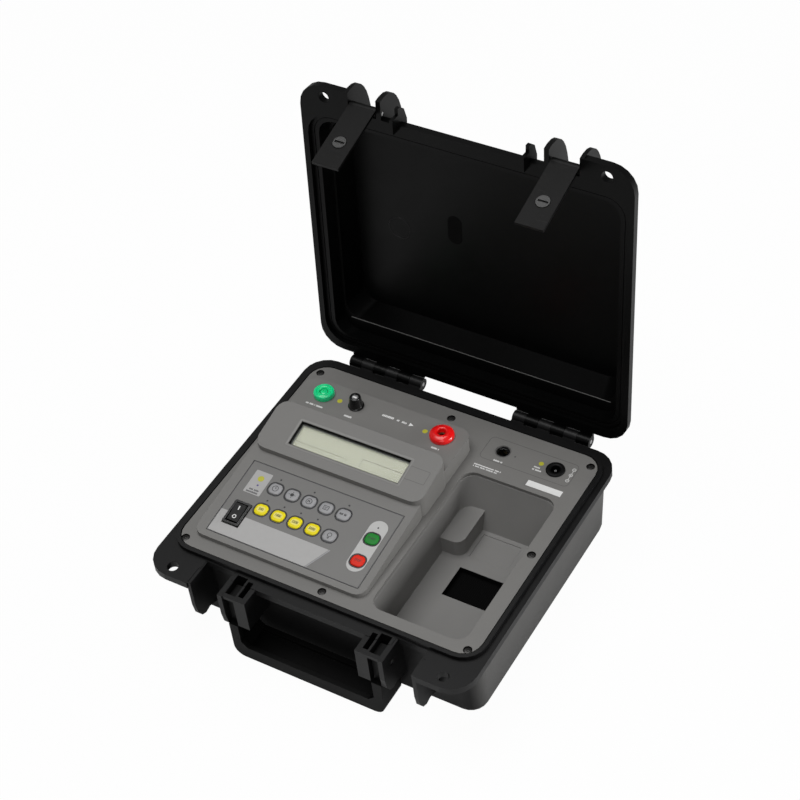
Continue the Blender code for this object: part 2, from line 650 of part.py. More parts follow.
def build_sockets():
    """Three safety sockets with their metal sleeves, all turned shapes."""
    shelf = PANEL_TOP + SHELF_HEIGHT
    low = -14.0
    turned("earth_socket", [(3.4, 4.8), (7.2, 4.8), (8.2, 3.8), (8.3, GAP), (6.0, GAP), (6.0, low),
                            (3.4, low)], (EARTH_X, SOCKET_Y, shelf), SOCKET_GREEN)
    turned("guard_socket", [(2.9, 10.3), (4.2, 10.3), (4.6, 9.7), (5.4, 1.6), (6.4, 1.2), (6.4, GAP),
                            (5.0, GAP), (5.0, low), (2.9, low)], (GUARD_X, SOCKET_Y, shelf), GLOSS_BLACK)
    turned("output_socket", [(3.4, 5.4), (5.6, 5.4), (7.6, 4.6), (9.4, 3.4), (9.8, 2.4), (9.8, GAP),
                             (7.0, GAP), (7.0, low), (3.4, low)], (OUTPUT_X, SOCKET_Y, shelf), SOCKET_RED)
    for name, x, top, radius in (("earth_contact", EARTH_X, 2.0, 3.1), ("guard_contact", GUARD_X, 9.6, 2.6),
                                 ("output_contact", OUTPUT_X, 1.0, 3.1)):
        turned(name, [(radius - 1.1, top), (radius, top), (radius, low - 4), (0.0, low - 4),
                      (0.0, low + 1), (radius - 1.1, low + 1)][:4] +
               [(0.0, low + 1), (radius - 1.1, low + 1)], (x, SOCKET_Y, shelf), BRASS, 16)


def build_ports():
    """Charger jack, data port and the blank label between them and the well."""
    turned("dc_jack", [(3.9, 1.6), (6.6, 1.6), (7.5, 0.9), (7.5, GAP), (5.3, GAP), (5.3, -12.0),
                       (0.0, -12.0), (0.0, -10.0), (3.9, -10.0)], (*DC_AT, PANEL_TOP), GLOSS_BLACK)
    rods("dc_pin", [((*DC_AT, PANEL_TOP - 9.7), (*DC_AT, PANEL_TOP - 0.6))], 1.1, 12, METAL)
    port = rods("comms_port", [((*COMMS_AT, PANEL_TOP - 11.0), (*COMMS_AT, PANEL_TOP - 0.5))], 5.3, 24,
                GLOSS_BLACK)
    x, y = COMMS_AT
    key = [(x - 3.6, x + 3.6, y - 3.3, y + 1.8), (x - 2.0, x + 2.0, y + 1.5, y + 3.1)]
    for index, rect in enumerate(key):
        cut(port, block(f"comms_cavity_{index}", rect, (PANEL_TOP - 8.5, PANEL_TOP + 1)))
    floor = PANEL_TOP - 8.5 + GAP
    contacts = block("comms_contacts", (x - 3.0, x + 3.0, y - 2.9, y + 1.4), (floor, floor + 0.8),
                     material=BRASS)
    gaps = bmesh.new()
    for index in range(3):
        gap_x = x - 1.6 + 1.6 * index
        rect = (gap_x - 0.4, gap_x + 0.4, y - 3.4, y + 0.6)
        add_block(gaps, rect, rect, (floor - 1, floor + 2))
    cut(contacts, finish_bmesh(gaps, "contact_gaps"))
    block("blank_label", centred(LABEL_AT, LABEL_SIZE), (PANEL_TOP + GAP / 3, PANEL_TOP + 0.4),
          material=LABEL_WHITE)


def build_screws():
    """Panel screws, each a slotted head and its shank."""
    for index, (x, y) in enumerate(SCREWS):
        screw = rods(f"panel_screw_{index + 1}", [((x, y, PANEL_TOP - 1.4), (x, y, PANEL_TOP - 0.2))],
                     2.9, 14, METAL)
        join(screw, rods(f"screw_shank_{index + 1}", [((x, y, RIM_HEIGHT - 11), (x, y, PANEL_TOP - 1.0))],
                         1.3, 8))
        cut(screw, block(f"screw_slot_{index + 1}", centred((x, y), (3.4, 0.8)),
                         (PANEL_TOP - 0.9, PANEL_TOP + 0.3)))


def build_storage_tray():
    """Well for leads: sloped back, raised block, pocket and shallow recess."""
    top = RIM_HEIGHT
    floor = PANEL_TOP - WELL_DEPTH
    tray = block("storage_tray", grown(WELL_FLOOR, WELL_WALL), (floor - 2.5, top),
                 high=grown(WELL, WELL_WALL), radius=WELL_RADIUS + WELL_WALL, segments=4,
                 material=PANEL_GREY)
    join(tray, block("pocket_outside", grown(POCKET, 2.0), (floor - POCKET_DEPTH - 2.0, floor - 1.0)))
    cut(tray, block("tray_inside", WELL_FLOOR, (floor, top + 0.5),
                    high=WELL, radius=WELL_RADIUS, segments=4))
    bm = bmesh.new()
    add_block(bm, (WELL_FLOOR[0] - 1.2, 57.4, 5.0, 37.8), (WELL_FLOOR[0] - 1.6, 57.0, 5.5, 44.6),
              (floor - 1.0, PANEL_TOP - 27.0))
    corner = [e for e in bm.edges if all(v.co.x > 50.0 and v.co.y < 10.0 for v in e.verts)]
    bmesh.ops.bevel(bm, geom=corner, offset=8.0, segments=5, profile=0.5, affect="EDGES")
    join(tray, finish_bmesh(bm, "tray_block"))
    cut(tray, block("pocket_inside", POCKET, (floor - POCKET_DEPTH, floor + 3.0)),
        block("tray_recess", (60.5, 93.0, 9.5, 33.5), (floor - 1.0, floor + 3.0)))
    block("pocket_liner", grown(POCKET, -GAP), (floor - POCKET_DEPTH + GAP, floor - 5.0),
          material=RUBBER_BLACK)


def build_inside():
    """Electronics carried in the base."""
    board_z = BOARD_HEIGHT
    board = block("main_board", (-106.0, 22.0, -80.0, 66.0), (board_z, board_z + 1.6),
                  material=BOARD_GREEN)
    bm = bmesh.new()
    for x, y, wide, deep, tall in ((-80, -50, 22, 22, 4), (-40, -45, 14, 20, 5), (-5, -40, 10, 14, 6),
                                   (-70, 30, 30, 14, 8), (-20, 35, 18, 18, 9)):
        rect = centred((x, y), (wide, deep))
        add_block(bm, rect, rect, (board_z + 1.0, board_z + 1.6 + tall))
    join(board, finish_bmesh(bm, "board_chips"))
    cells = bmesh.new()
    for index in range(6):
        x = -88.0 + index * 17.0
        add_rod(cells, (x, -72.0, 12.4), (x, -14.0, 12.4), 8.2, 14)
    pack = finish_bmesh(cells, "battery_pack", CELL_BLUE, smooth=True)
    wrap = (-88.0, -88.0 + 5 * 17.0, -66.0, -20.0)
    join(pack, block("battery_wrap", wrap, (5.2, 19.6)))
    block("hv_transformer", (-98.0, -50.0, 2.0, 48.0), (3.5 + GAP, 44.0), radius=3.0, segments=2,
          material=POTTING)
    bank = block("capacitor_bank", (-46.0, 14.0, 14.0, 34.0), (3.5 + GAP, 7.0), material=CELL_BLUE)
    join(bank, rods("capacitors", [((x, 24.0, 6.0), (x, 24.0, 36.0)) for x in (-36.0, -16.0, 4.0)],
                    8.5, 16))
    y = SOCKET_Y + 10.0
    wire_z = board_z + 4.0
    harness = block("wiring_harness", (EARTH_X + 20.0, OUTPUT_X - 20.0, y - 2.0, y + 2.0),
                    (wire_z - 1.2, wire_z + 1.2), material=RUBBER_BLACK)
    for index, x in enumerate((EARTH_X, GUARD_X, OUTPUT_X)):
        end_x = min(max(x, EARTH_X + 22.0), OUTPUT_X - 22.0)
        top = PANEL_TOP + SHELF_HEIGHT - 18.0 - GAP
        path = [(x, SOCKET_Y, top), (x, SOCKET_Y, wire_z + 2.0), (x, y, wire_z), (end_x, y, wire_z)]
        join(harness, tube(f"socket_lead_{index + 1}", path[:4 if x != end_x else 3], 0.9))


def build_hinge_pins():
    for side, label in SIDES:
        rods("hinge_pin_" + label, [((side * (BARREL_START + 0.2), HINGE_Y, HINGE_Z),
                                     (side * (BARREL_END - 0.2), HINGE_Y, HINGE_Z))],
             HINGE_PIN_RADIUS, 14, METAL)


def lid_ear_outline():
    """Side view of an ear on the lid, rounded at its tip."""
    bottom = RIM_HEIGHT + GAP
    return [(-107.0, bottom), (-132.0, bottom), (-133.2, bottom + 5), (-133.2, bottom + 11),
            (-131.6, bottom + 16), (-129.0, bottom + 19.7), (-125.2, bottom + 23), (-119.6, bottom + 26.2),
            (-112.5, bottom + 28.6), (-104.5, bottom + 30.4), (-96.2, bottom + 31.8),
            (-101.0, bottom + 16.5), (-104.6, GROOVE_TOP + 0.8), (-107.0, GROOVE_TOP + 0.3)]


def build_lid():
    """Lid moulding and its seal, modelled shut and turned open by the hinge."""
    bottom = RIM_HEIGHT + GAP
    shell = rim_plate("lid_shell", (bottom, bottom + RIM_THICK), LID_RIM_FRONT, LID_HINGE, CASE_BLACK)
    skirt = block("lid_skirt", SKIRT_LOW, (bottom + 1, SKIRT_TOP), high=SKIRT_HIGH,
                  radius=CORNER_RADIUS - 2, segments=5, parent=LID_HINGE)
    bm = bmesh.new()
    add_block(bm, CROWN_HIGH, CROWN_LOW, (-CASE_HEIGHT, -CROWN_FOOT), CORNER_RADIUS - 3, 5, 4.5)
    bmesh.ops.scale(bm, vec=(1, 1, -1), verts=bm.verts)
    join(shell, skirt, finish_bmesh(bm, "lid_crown", parent=LID_HINGE))
    hollow_low = block("lid_hollow_low", grown(PANEL, -1.5), (bottom - 2, LEDGE_HEIGHT), high=LEDGE_HIGH,
                       radius=PANEL_RADIUS - 2, segments=4, parent=LID_HINGE)
    hollow_high = block("lid_hollow_high", CEILING_LOW, (bottom, CEILING), high=CEILING_HIGH,
                        radius=CORNER_RADIUS - 7, segments=4, parent=LID_HINGE)
    clearance = block("lid_panel_room", grown(PANEL, 0.4), (bottom - 2, PANEL_TOP + 0.7),
                      radius=PANEL_RADIUS, segments=5, parent=LID_HINGE)
    groove = block("lid_groove", grown(TONGUE, TONGUE_WIDTH + 0.4), (bottom - 2, GROOVE_TOP),
                   radius=PANEL_RADIUS + 4, segments=5, parent=LID_HINGE)
    rib = block("lid_groove_core", grown(TONGUE, -0.4), (PANEL_TOP + 0.6, GROOVE_TOP + 1.0),
                radius=PANEL_RADIUS, segments=5, parent=LID_HINGE)
    cut(groove, rib)
    cut(shell, groove, clearance, hollow_low, hollow_high)

    for side, label in SIDES:
        for kind, span in (("outer", EAR_OUTER), ("inner", EAR_INNER)):
            join(shell, plate(f"ear_{kind}_{label}", lid_ear_outline(), mirrored(span, side),
                              parent=LID_HINGE))
        tab = [(-124.5, 61.0), (-112.5, 61.0), (-112.5, bottom + 1.0), (-108.0, bottom + 1.0),
               (-108.0, GROOVE_TOP + 0.3), (-104.8, GROOVE_TOP + 0.8), (-102.6, bottom + 12.0),
               (-116.0, bottom + 12.6), (-126.0, bottom + 9.0), (-130.0, bottom + 4.0),
               (-130.0, bottom + 0.5), (-124.5, bottom + 0.3)]
        across = mirrored((TAB_SLOT[0] + 0.8, TAB_SLOT[1] - 0.8), side)
        join(shell, plate("tab_" + label, tab, across, parent=LID_HINGE))
    arms = bmesh.new()
    barrels = bmesh.new()
    for side, label in SIDES:
        across = mirrored((BARREL_START + 0.6, BARREL_END - 0.6), side)
        join(shell, block("hinge_rail_" + label, (*across, RIM_BACK - 2.5, HINGE_Y - BARREL_RADIUS - 0.4),
                          (bottom + 0.6, bottom + RIM_THICK - 0.7), parent=LID_HINGE))
    for left, right in barrel_spans(1):
        rect = (left, right, RIM_BACK - 2, HINGE_Y)
        add_block(arms, rect, rect, (bottom + 0.4, HINGE_Z + BARREL_RADIUS - 0.4))
        add_rod(barrels, (left, HINGE_Y, HINGE_Z), (right, HINGE_Y, HINGE_Z), BARREL_RADIUS, 20)
    join(shell, finish_bmesh(arms, "lid_webs", parent=LID_HINGE),
         finish_bmesh(barrels, "lid_barrels", parent=LID_HINGE))
    bm = bmesh.new()
    for side in (-1, 1):
        add_rod(bm, (side * (BARREL_START - 1), HINGE_Y, HINGE_Z),
                (side * (BARREL_END + 1), HINGE_Y, HINGE_Z), HINGE_PIN_RADIUS + GAP, 14)
        add_rod(bm, (side * (EAR_INNER[0] - 1), *LATCH_PIVOT), (side * (EAR_OUTER[1] + 1), *LATCH_PIVOT),
                1.8, 12)
    cut(shell, finish_bmesh(bm, "lid_bores", parent=LID_HINGE),
        padlock_holes("lid_padlock", (60.0, 85.0), LID_HINGE))

    seal = block("lid_gasket", grown(TONGUE, TONGUE_WIDTH), (TONGUE_TOP + GAP, GROOVE_TOP - GAP),
                 radius=PANEL_RADIUS + 3.6, segments=5, material=RUBBER_BLACK, parent=LID_HINGE)
    cut(seal, block("gasket_inside", grown(TONGUE, 0.2), (TONGUE_TOP - 2, TONGUE_TOP + 5.0),
                    radius=PANEL_RADIUS + 0.8, segments=5, parent=LID_HINGE))
    for side, label in SIDES:
        rods("latch_pin_" + label, [((side * (EAR_INNER[0] + 0.3), *LATCH_PIVOT),
                                     (side * (EAR_OUTER[1] - 0.3), *LATCH_PIVOT))],
             1.5, 12, METAL, LID_HINGE)


def build_latch(side, label):
    """One latch plate with its rolled top and coin lock."""
    y, z = LATCH_PIVOT
    lean = pivot(f"latch_{label}_axis", (side * LATCH_CENTRE, y, z), LATCH_LEAN, LID_HINGE)
    lean["built_at"] = Vector((side * LATCH_CENTRE, y, z)) * MM
    half = LATCH_WIDTH / 2
    x = side * LATCH_CENTRE
    front, back = y - LATCH_OUT, y - LATCH_OUT + LATCH_THICK
    end = z - LATCH_LENGTH
    latch = plate("latch_" + label, [(front, z + 0.6), (front, end), (back, end), (back, z + 0.6)],
                  (x - half + 0.05, x + half - 0.05), material=CASE_BLACK, parent=lean)
    join(latch, rods("latch_roll_" + label, [((x - half, y, z), (x + half, y, z))], LATCH_ROLL,
                     16, parent=lean))
    centre_z = z - COIN_LOCK_DOWN
    bm = bmesh.new()
    add_rod(bm, (x - half - 1, y, z), (x + half + 1, y, z), 1.9, 12)
    add_rod(bm, (x, front - 1, centre_z), (x, back + 1, centre_z), COIN_LOCK_RADIUS + GAP, 20)
    cut(latch, finish_bmesh(bm, "latch_bores_" + label, parent=lean))
    lock = rods("coin_lock_" + label, [((x, front - 0.5, centre_z), (x, back + 0.9, centre_z))],
                COIN_LOCK_RADIUS, 20, CASE_BLACK, lean)
    slot = block("coin_slot_" + label, (x - 3.9, x + 3.9, front - 2, front + 0.9),
                 (centre_z - 0.7, centre_z + 0.7), parent=lean)
    cut(lock, slot)


def build_handle():
    """U-shaped handle with a grooved grip, hanging down the front."""
    pin_y, pin_z = HANDLE_PIVOT
    inner, outer = ARM
    arm_top = pin_z + 7.0
    round_out = 9.0
    outline = [(-outer, arm_top), (-inner, arm_top), (-inner, HANDLE_BOTTOM + GRIP_THICK + 5),
               (-inner + 5, HANDLE_BOTTOM + GRIP_THICK), (inner - 5, HANDLE_BOTTOM + GRIP_THICK),
               (inner, HANDLE_BOTTOM + GRIP_THICK + 5), (inner, arm_top), (outer, arm_top)]
    for sign in (1, -1):
        angles = range(0, 91, 18) if sign > 0 else range(90, -1, -18)
        outline += [(sign * (outer - round_out + round_out * math.cos(math.radians(a))),
                     HANDLE_BOTTOM + round_out - round_out * math.sin(math.radians(a))) for a in angles]
    handle = plate("handle", outline, (HANDLE_FRONT, HANDLE_BACK), x_faces=False, material=CASE_BLACK)
    bm = bmesh.new()
    wide = outer + 2
    for near, far in ((HANDLE_FRONT - 2, pin_y - 7.0), (pin_y + 7.0, HANDLE_BACK + 2)):
        add_block(bm, (-wide, wide, near, far), (-wide, wide, near, far), (pin_z - 18, arm_top + 2))
    cut(handle, finish_bmesh(bm, "handle_neck"))
    groove = block("grip_groove", (-50.0, 50.0, HANDLE_FRONT + 4, HANDLE_BACK - 4),
                   (HANDLE_BOTTOM - 1, HANDLE_BOTTOM + 5))
    bores = rods("handle_bores", [((s * (inner - 1), pin_y, pin_z), (s * (outer + 1), pin_y, pin_z))
                                  for s in (-1, 1)], HANDLE_PIN_RADIUS + GAP, 14)
    cut(handle, groove, bores)
    hollow = HANDLE_BOTTOM + GRIP_THICK - 3.2
    channel = [(-inner - 3.2, pin_z - 20), (-inner - 3.2, hollow + 6.2), (-inner + 3.5, hollow),
               (inner - 3.5, hollow), (inner + 3.2, hollow + 6.2), (inner + 3.2, pin_z - 20)]
    cut(handle, plate("handle_channel", channel, (HANDLE_FRONT + 4, HANDLE_BACK - 4), x_faces=False))
    for side, label in SIDES:
        rods("handle_pin_" + label, [((side * (inner - 2.8), pin_y, pin_z),
                                      (side * (EAR_INNER[1] - 0.4), pin_y, pin_z))],
             HANDLE_PIN_RADIUS, 14, METAL)


build_base_shell()
build_front_panel()
build_keypad()
build_rocker()
build_display()
build_sockets()
build_ports()
build_screws()
build_storage_tray()
build_inside()
build_hinge_pins()
build_lid()
for one_side, its_label in SIDES:
    build_latch(one_side, its_label)
build_handle()
bpy.context.view_layer.update()
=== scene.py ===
import math
import bmesh
import bpy
import numpy as np
from mathutils import Matrix, Vector


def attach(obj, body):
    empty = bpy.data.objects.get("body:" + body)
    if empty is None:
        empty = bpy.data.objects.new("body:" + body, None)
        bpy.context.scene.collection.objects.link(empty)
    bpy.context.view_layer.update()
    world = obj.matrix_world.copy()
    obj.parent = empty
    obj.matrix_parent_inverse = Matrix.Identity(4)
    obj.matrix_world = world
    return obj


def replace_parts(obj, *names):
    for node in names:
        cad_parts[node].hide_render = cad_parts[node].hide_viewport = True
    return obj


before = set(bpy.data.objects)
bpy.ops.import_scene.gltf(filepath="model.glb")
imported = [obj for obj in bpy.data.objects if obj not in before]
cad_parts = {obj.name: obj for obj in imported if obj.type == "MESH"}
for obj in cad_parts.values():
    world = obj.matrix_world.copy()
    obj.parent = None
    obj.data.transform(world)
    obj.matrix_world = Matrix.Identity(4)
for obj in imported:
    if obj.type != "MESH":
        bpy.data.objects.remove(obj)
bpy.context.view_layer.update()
mm = 0.001
print("frame loaded")

# All places below are in millimetres in the part's frame.
case = {"hingeY": 124.3, "hingeZ": 66.9, "lidOpen": 95.0, "panelTop": 71.7, "shelfTop": 86.7}
keypad = {"middleY": -48.5, "rise": 0.1176, "atZero": 14.6}
display = {"middleY": 14.6, "rise": 0.193, "atZero": 19.5}


# Matrix of a sloped face: y is counted from the face's middle along the slope, z from its surface.
def slopedFace(middleY, rise, atZero):
    place = Vector((0.0, middleY, case["panelTop"] + atZero + rise * middleY)) * mm
    return Matrix.Translation(place) @ Matrix.Rotation(math.atan(rise), 4, "X")


keypadFace = slopedFace(**keypad)
displayFace = slopedFace(**display)
panelFace = Matrix.Translation(Vector((0, 0, case["panelTop"])) * mm)
shelfFace = Matrix.Translation(Vector((0, 0, case["shelfTop"])) * mm)
hingeSpot = Vector((0, case["hingeY"], case["hingeZ"])) * mm
lidTurn = (Matrix.Translation(hingeSpot) @ Matrix.Rotation(math.radians(-case["lidOpen"]), 4, "X")
           @ Matrix.Translation(-hingeSpot))


class Wire:
    # A node socket that takes part in sums, so that a material reads like a formula.

    def __init__(self, tree, socket):
        self.tree = tree
        self.socket = socket

    def node(self, kind, inputs=None, out=0, **settings):
        made = self.tree.nodes.new(kind)
        for key, value in settings.items():
            setattr(made, key, value)
        for key, value in (inputs or {}).items():
            if isinstance(value, Wire):
                self.tree.links.new(value.socket, made.inputs[key])
            else:
                made.inputs[key].default_value = value
        return Wire(self.tree, made.outputs[out])

    def sum(self, kind, *values):
        return self.node("ShaderNodeMath", dict(enumerate(values)), operation=kind)

    def __add__(self, other): return self.sum("ADD", self, other)
    def __radd__(self, other): return self.sum("ADD", other, self)
    def __sub__(self, other): return self.sum("SUBTRACT", self, other)
    def __rsub__(self, other): return self.sum("SUBTRACT", other, self)
    def __mul__(self, other): return self.sum("MULTIPLY", self, other)
    def __rmul__(self, other): return self.sum("MULTIPLY", other, self)
    def __gt__(self, other): return self.sum("GREATER_THAN", self, other)
    def __lt__(self, other): return self.sum("LESS_THAN", self, other)

    # first where self is 0, second where it is 1
    def blend(self, first, second):
        return self.node("ShaderNodeMix", {0: self, 6: first, 7: second}, out=2, data_type="RGBA")


# A material, its shader and its Object coordinates.
def newPaint(name, roughness, metallic=0.0, shine=0.5):
    material = bpy.data.materials.new(name)
    material.use_nodes = True
    tree = material.node_tree
    shader = tree.nodes["Principled BSDF"]
    shader.inputs["Roughness"].default_value = roughness
    shader.inputs["Metallic"].default_value = metallic
    shader.inputs["Specular IOR Level"].default_value = shine
    return material, shader, Wire(tree, None).node("ShaderNodeTexCoord", out=3)


def feed(place, shader, key, wire):
    place.tree.links.new(wire.socket, shader.inputs[key])


# Noise from 0 to 1 with grains of about the given size in millimetres.
def grain(place, size, detail=3.0):
    return place.node("ShaderNodeTexNoise", {"Vector": place, "Scale": 1.0 / (size * mm),
                                             "Detail": detail})


# A height field as bump, its depth in millimetres.
def bumped(place, shader, height, depth):
    feed(place, shader, "Normal", place.node("ShaderNodeBump", {"Height": height, "Distance": depth * mm,
                                                              "Strength": 1.0}))


def shades(colour, spread):
    dark = [c * (1 - spread) for c in colour]
    light = [min(1.0, c * (1 + spread)) for c in colour]
    return dark + [1.0], light + [1.0]


# How scuffs are drawn, and how the painted light on the side walls fades in: the distance from the middle
# times gain, less start, goes from 0 to 1 between 121 and 132 mm. The fade ends at top, in metres, under
# the rim.
scuffLook = {"stretch": (0.12, 1.0, 0.5), "scale": 900.0, "peak": 0.66, "cloud": 0.5}
wallLightFade = {"gain": 90.0, "start": 10.9, "top": 0.0622, "spread": 0.35}


# Moulded plastic: slow clouds and a fine spark-eroded grain mix two shades, the clouds move the
# roughness, the grain stands up as bump, and where long thin noise peaks there are pale scuffs.
# With wall, the outer side walls below the rim fade to a paler, grainy shade: painted light for the light
# that falls on the case's sides.
def moulded(name, colour, roughness, fine=0.35, depth=0.02, mottle=0.12, scuffs=0.0, shine=0.5,
            wall=None):
    material, shader, place = newPaint(name, roughness, 0.0, shine)
    slow = grain(place, 18.0, 4.0)
    quick = grain(place, fine, 2.0)
    dark, light = shades(colour, mottle)
    skin = (slow * 0.7 + quick * 0.3).blend(dark, light)
    if scuffs:
        drawn = place.node("ShaderNodeMapping", {"Vector": place, "Scale": scuffLook["stretch"]})
        scratch = drawn.node("ShaderNodeTexNoise",
                             {"Vector": drawn, "Scale": scuffLook["scale"], "Detail": 3.0})
        worn = (scratch > scuffLook["peak"]) * (slow > scuffLook["cloud"]) * scuffs
        skin = worn.blend(skin, [min(1.0, c * 2.5 + 0.02) for c in colour] + [1.0])
    # Painted light: the outer side walls below the rim are made paler than the rest of the plastic.
    if wall:
        across = place.node("ShaderNodeSeparateXYZ", {0: place})
        height = Wire(place.tree, across.socket.node.outputs[2])
        rise = place.sum("ABSOLUTE", across) * wallLightFade["gain"] - wallLightFade["start"]
        beside = place.sum("MINIMUM", place.sum("MAXIMUM", rise, 0.0), 1.0)
        paintedWallLight = (quick * 0.8 + slow * 0.2).blend(*shades(wall, wallLightFade["spread"]))
        skin = (beside * (height < wallLightFade["top"])).blend(skin, paintedWallLight)
    feed(place, shader, "Base Color", skin)
    feed(place, shader, "Roughness", roughness - 0.07 + slow * 0.14)
    bumped(place, shader, quick, depth)
    return material


# Smooth finish: two close shades, and a roughness that drifts a little.
def plain(name, colour, roughness, metallic=0.0, mottle=0.05, size=4.0, coat=0.0, shine=0.5):
    material, shader, place = newPaint(name, roughness, metallic, shine)
    slow = grain(place, size, 3.0)
    feed(place, shader, "Base Color", slow.blend(*shades(colour, mottle)))
    feed(place, shader, "Roughness", roughness - 0.04 + slow * 0.08)
    shader.inputs["Coat Weight"].default_value = coat
    shader.inputs["Coat Roughness"].default_value = 0.1
    return material


# Metal with fine streaks: noise squeezed along X drives colour and roughness.
def brushed(name, colour, roughness):
    material, shader, place = newPaint(name, roughness, 1.0)
    drawn = place.node("ShaderNodeMapping", {"Vector": place, "Scale": (0.08, 1.0, 1.0)})
    streak = place.node("ShaderNodeTexNoise", {"Vector": drawn, "Scale": 3000.0, "Detail": 2.0})
    feed(place, shader, "Base Color", streak.blend(*shades(colour, 0.15)))
    feed(place, shader, "Roughness", roughness - 0.08 + streak * 0.16)
    return material


# Ribbed rubber: a sine across X as shade and bump.
def ribbed(name, colour, pitch):
    material, shader, place = newPaint(name, 0.8, 0.0, 0.08)
    parts = place.node("ShaderNodeSeparateXYZ", {0: place})
    wave = parts.sum("SINE", parts * (2 * math.pi / (pitch * mm))) * 0.5 + 0.5
    mixed = wave * 0.7 + grain(place, 0.5, 2.0) * 0.3
    feed(place, shader, "Base Color", mixed.blend(*shades(colour, 0.8)))
    bumped(place, shader, wave, 0.25)
    return material


# Each paint's maker, colour, roughness (or the pitch of its ribs), and what else the maker takes.
paints = {
    # caseBlack's wall colour is painted light on the case's outer side walls.
    "caseBlack": (moulded, [0.0042, 0.0042, 0.0044], 0.42,
                  dict(fine=0.5, depth=0.012, mottle=0.25, scuffs=0.08, shine=0.25,
                       wall=[0.088, 0.087, 0.084])),
    # lidBlack is the case's black made darker: painted shade, so that the inside of the open lid reads
    # darker.
    "lidBlack": (moulded, [0.0013, 0.0014, 0.0014], 0.34,
                 dict(fine=0.6, depth=0.005, mottle=0.25, shine=0.14)),
    "handleBlack": (moulded, [0.0028, 0.0028, 0.0028], 0.5,
                    dict(fine=0.5, depth=0.010, mottle=0.2, shine=0.12)),
    "ledgePale": (plain, [0.22, 0.22, 0.215], 0.4, dict(mottle=0.2, size=3.0)),
    "rimBlack": (moulded, [0.0025, 0.0025, 0.0026], 0.36,
                 dict(fine=0.5, depth=0.008, mottle=0.2, shine=0.2)),
    "sealBlack": (plain, [0.002, 0.002, 0.002], 0.4, dict(mottle=0.2, size=8.0, shine=0.15)),
    "panelGrey": (moulded, [0.190, 0.186, 0.178], 0.5,
                  dict(fine=0.45, depth=0.015, mottle=0.07, scuffs=0.02)),
    "panelPale": (moulded, [0.235, 0.232, 0.222], 0.45, dict(fine=0.45, depth=0.010, mottle=0.05)),
    "panelLine": (plain, [0.105, 0.103, 0.100], 0.5, dict(mottle=0.06)),
    "wellGrey": (moulded, [0.215, 0.211, 0.204], 0.55, dict(fine=0.5, mottle=0.07)),
    "filmGrey": (moulded, [0.172, 0.169, 0.163], 0.42, dict(fine=0.3, depth=0.004, mottle=0.05)),
    "bandGrey": (plain, [0.44, 0.435, 0.43], 0.45, dict(mottle=0.04)),
    "stripGrey": (plain, [0.54, 0.54, 0.53], 0.45, dict(mottle=0.04)),
    "printDark": (plain, [0.022, 0.022, 0.024], 0.5, dict(mottle=0.1)),
    "printGrey": (plain, [0.07, 0.07, 0.075], 0.5, dict(mottle=0.1)),
    "printWhite": (plain, [0.86, 0.86, 0.85], 0.5, dict(mottle=0.04)),
    "printYellow": (plain, [0.52, 0.50, 0.03], 0.5, dict()),
    "printViolet": (plain, [0.10, 0.07, 0.24], 0.5, dict()),
    "keyGrey": (plain, [0.33, 0.33, 0.34], 0.42, dict(mottle=0.06)),
    "keyYellow": (plain, [0.95, 0.80, 0.008], 0.5, dict(mottle=0.04, shine=0.25)),
    "keyGreen": (plain, [0.012, 0.24, 0.028], 0.5, dict(mottle=0.06, shine=0.25)),
    "keyRed": (plain, [0.80, 0.022, 0.006], 0.5, dict(shine=0.25)),
    "keyPale": (plain, [0.95, 0.85, 0.20], 0.5, dict(mottle=0.03, shine=0.25)),
    "socketGreen": (plain, [0.01, 0.78, 0.30], 0.28, dict(mottle=0.06, coat=0.3)),
    "socketRed": (plain, [0.86, 0.006, 0.007], 0.28, dict(mottle=0.06, coat=0.3)),
    "glossBlack": (plain, [0.005, 0.005, 0.005], 0.22, dict(mottle=0.2, size=5.0, coat=0.2, shine=0.4)),
    "blackHole": (plain, [0.002, 0.002, 0.002], 0.8, dict(mottle=0.1, shine=0.1)),
    "screwDark": (plain, [0.035, 0.034, 0.033], 0.4, dict(metallic=0.6, mottle=0.2, size=1.0)),
    "pinSteel": (brushed, [0.6, 0.6, 0.6], 0.32, dict()),
    "brass": (brushed, [0.75, 0.56, 0.25], 0.28, dict()),
    "contactDark": (brushed, [0.14, 0.09, 0.05], 0.4, dict()),
    "latchGrey": (moulded, [0.0030, 0.0029, 0.0028], 0.42,
                  dict(fine=0.4, depth=0.010, mottle=0.2, scuffs=0.25, shine=0.12)),
    "lockGrey": (plain, [0.011, 0.011, 0.0105], 0.34, dict(mottle=0.3, size=1.0)),
    "lcdFace": (plain, [0.54, 0.55, 0.385], 0.3, dict(mottle=0.03, size=20.0)),
    "lcdMark": (plain, [0.14, 0.15, 0.105], 0.4, dict()),
    "pocketBlack": (ribbed, [0.0012, 0.0012, 0.0012], 1.6, dict()),
    "boardGreen": (plain, [0.015, 0.12, 0.045], 0.45, dict(mottle=0.2, size=3.0, coat=0.2)),
    "cellBlue": (plain, [0.04, 0.1, 0.35], 0.35, dict(mottle=0.1, size=6.0, coat=0.3)),
}
finish = {name: maker(name, colour, third, **more)
          for name, (maker, colour, third, more) in paints.items()}
clear, clearShader, clearPlace = newPaint("windowClear", 0.03)
feed(clearPlace, clearShader, "Roughness", grain(clearPlace, 30.0, 2.0) * 0.04)
clearShader.inputs["Base Color"].default_value = (0.95, 1.0, 0.97, 1.0)
clearShader.inputs["Alpha"].default_value = 0.10
finish["windowClear"] = clear
print("finishes made")


# Links a mesh as a piece, shades it smooth up to an angle, and lets it ride on a body.
def piece(name, mesh, paint, body="base", place=None, smooth=40.0):
    if place is not None:
        mesh.transform(place)
    mesh.materials.clear()
    mesh.materials.append(finish[paint])
    mesh.shade_smooth()
    mesh.set_sharp_from_angle(angle=math.radians(smooth))
    thing = bpy.data.objects.new(name, mesh)
    bpy.context.scene.collection.objects.link(thing)
    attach(thing, body)
    return thing


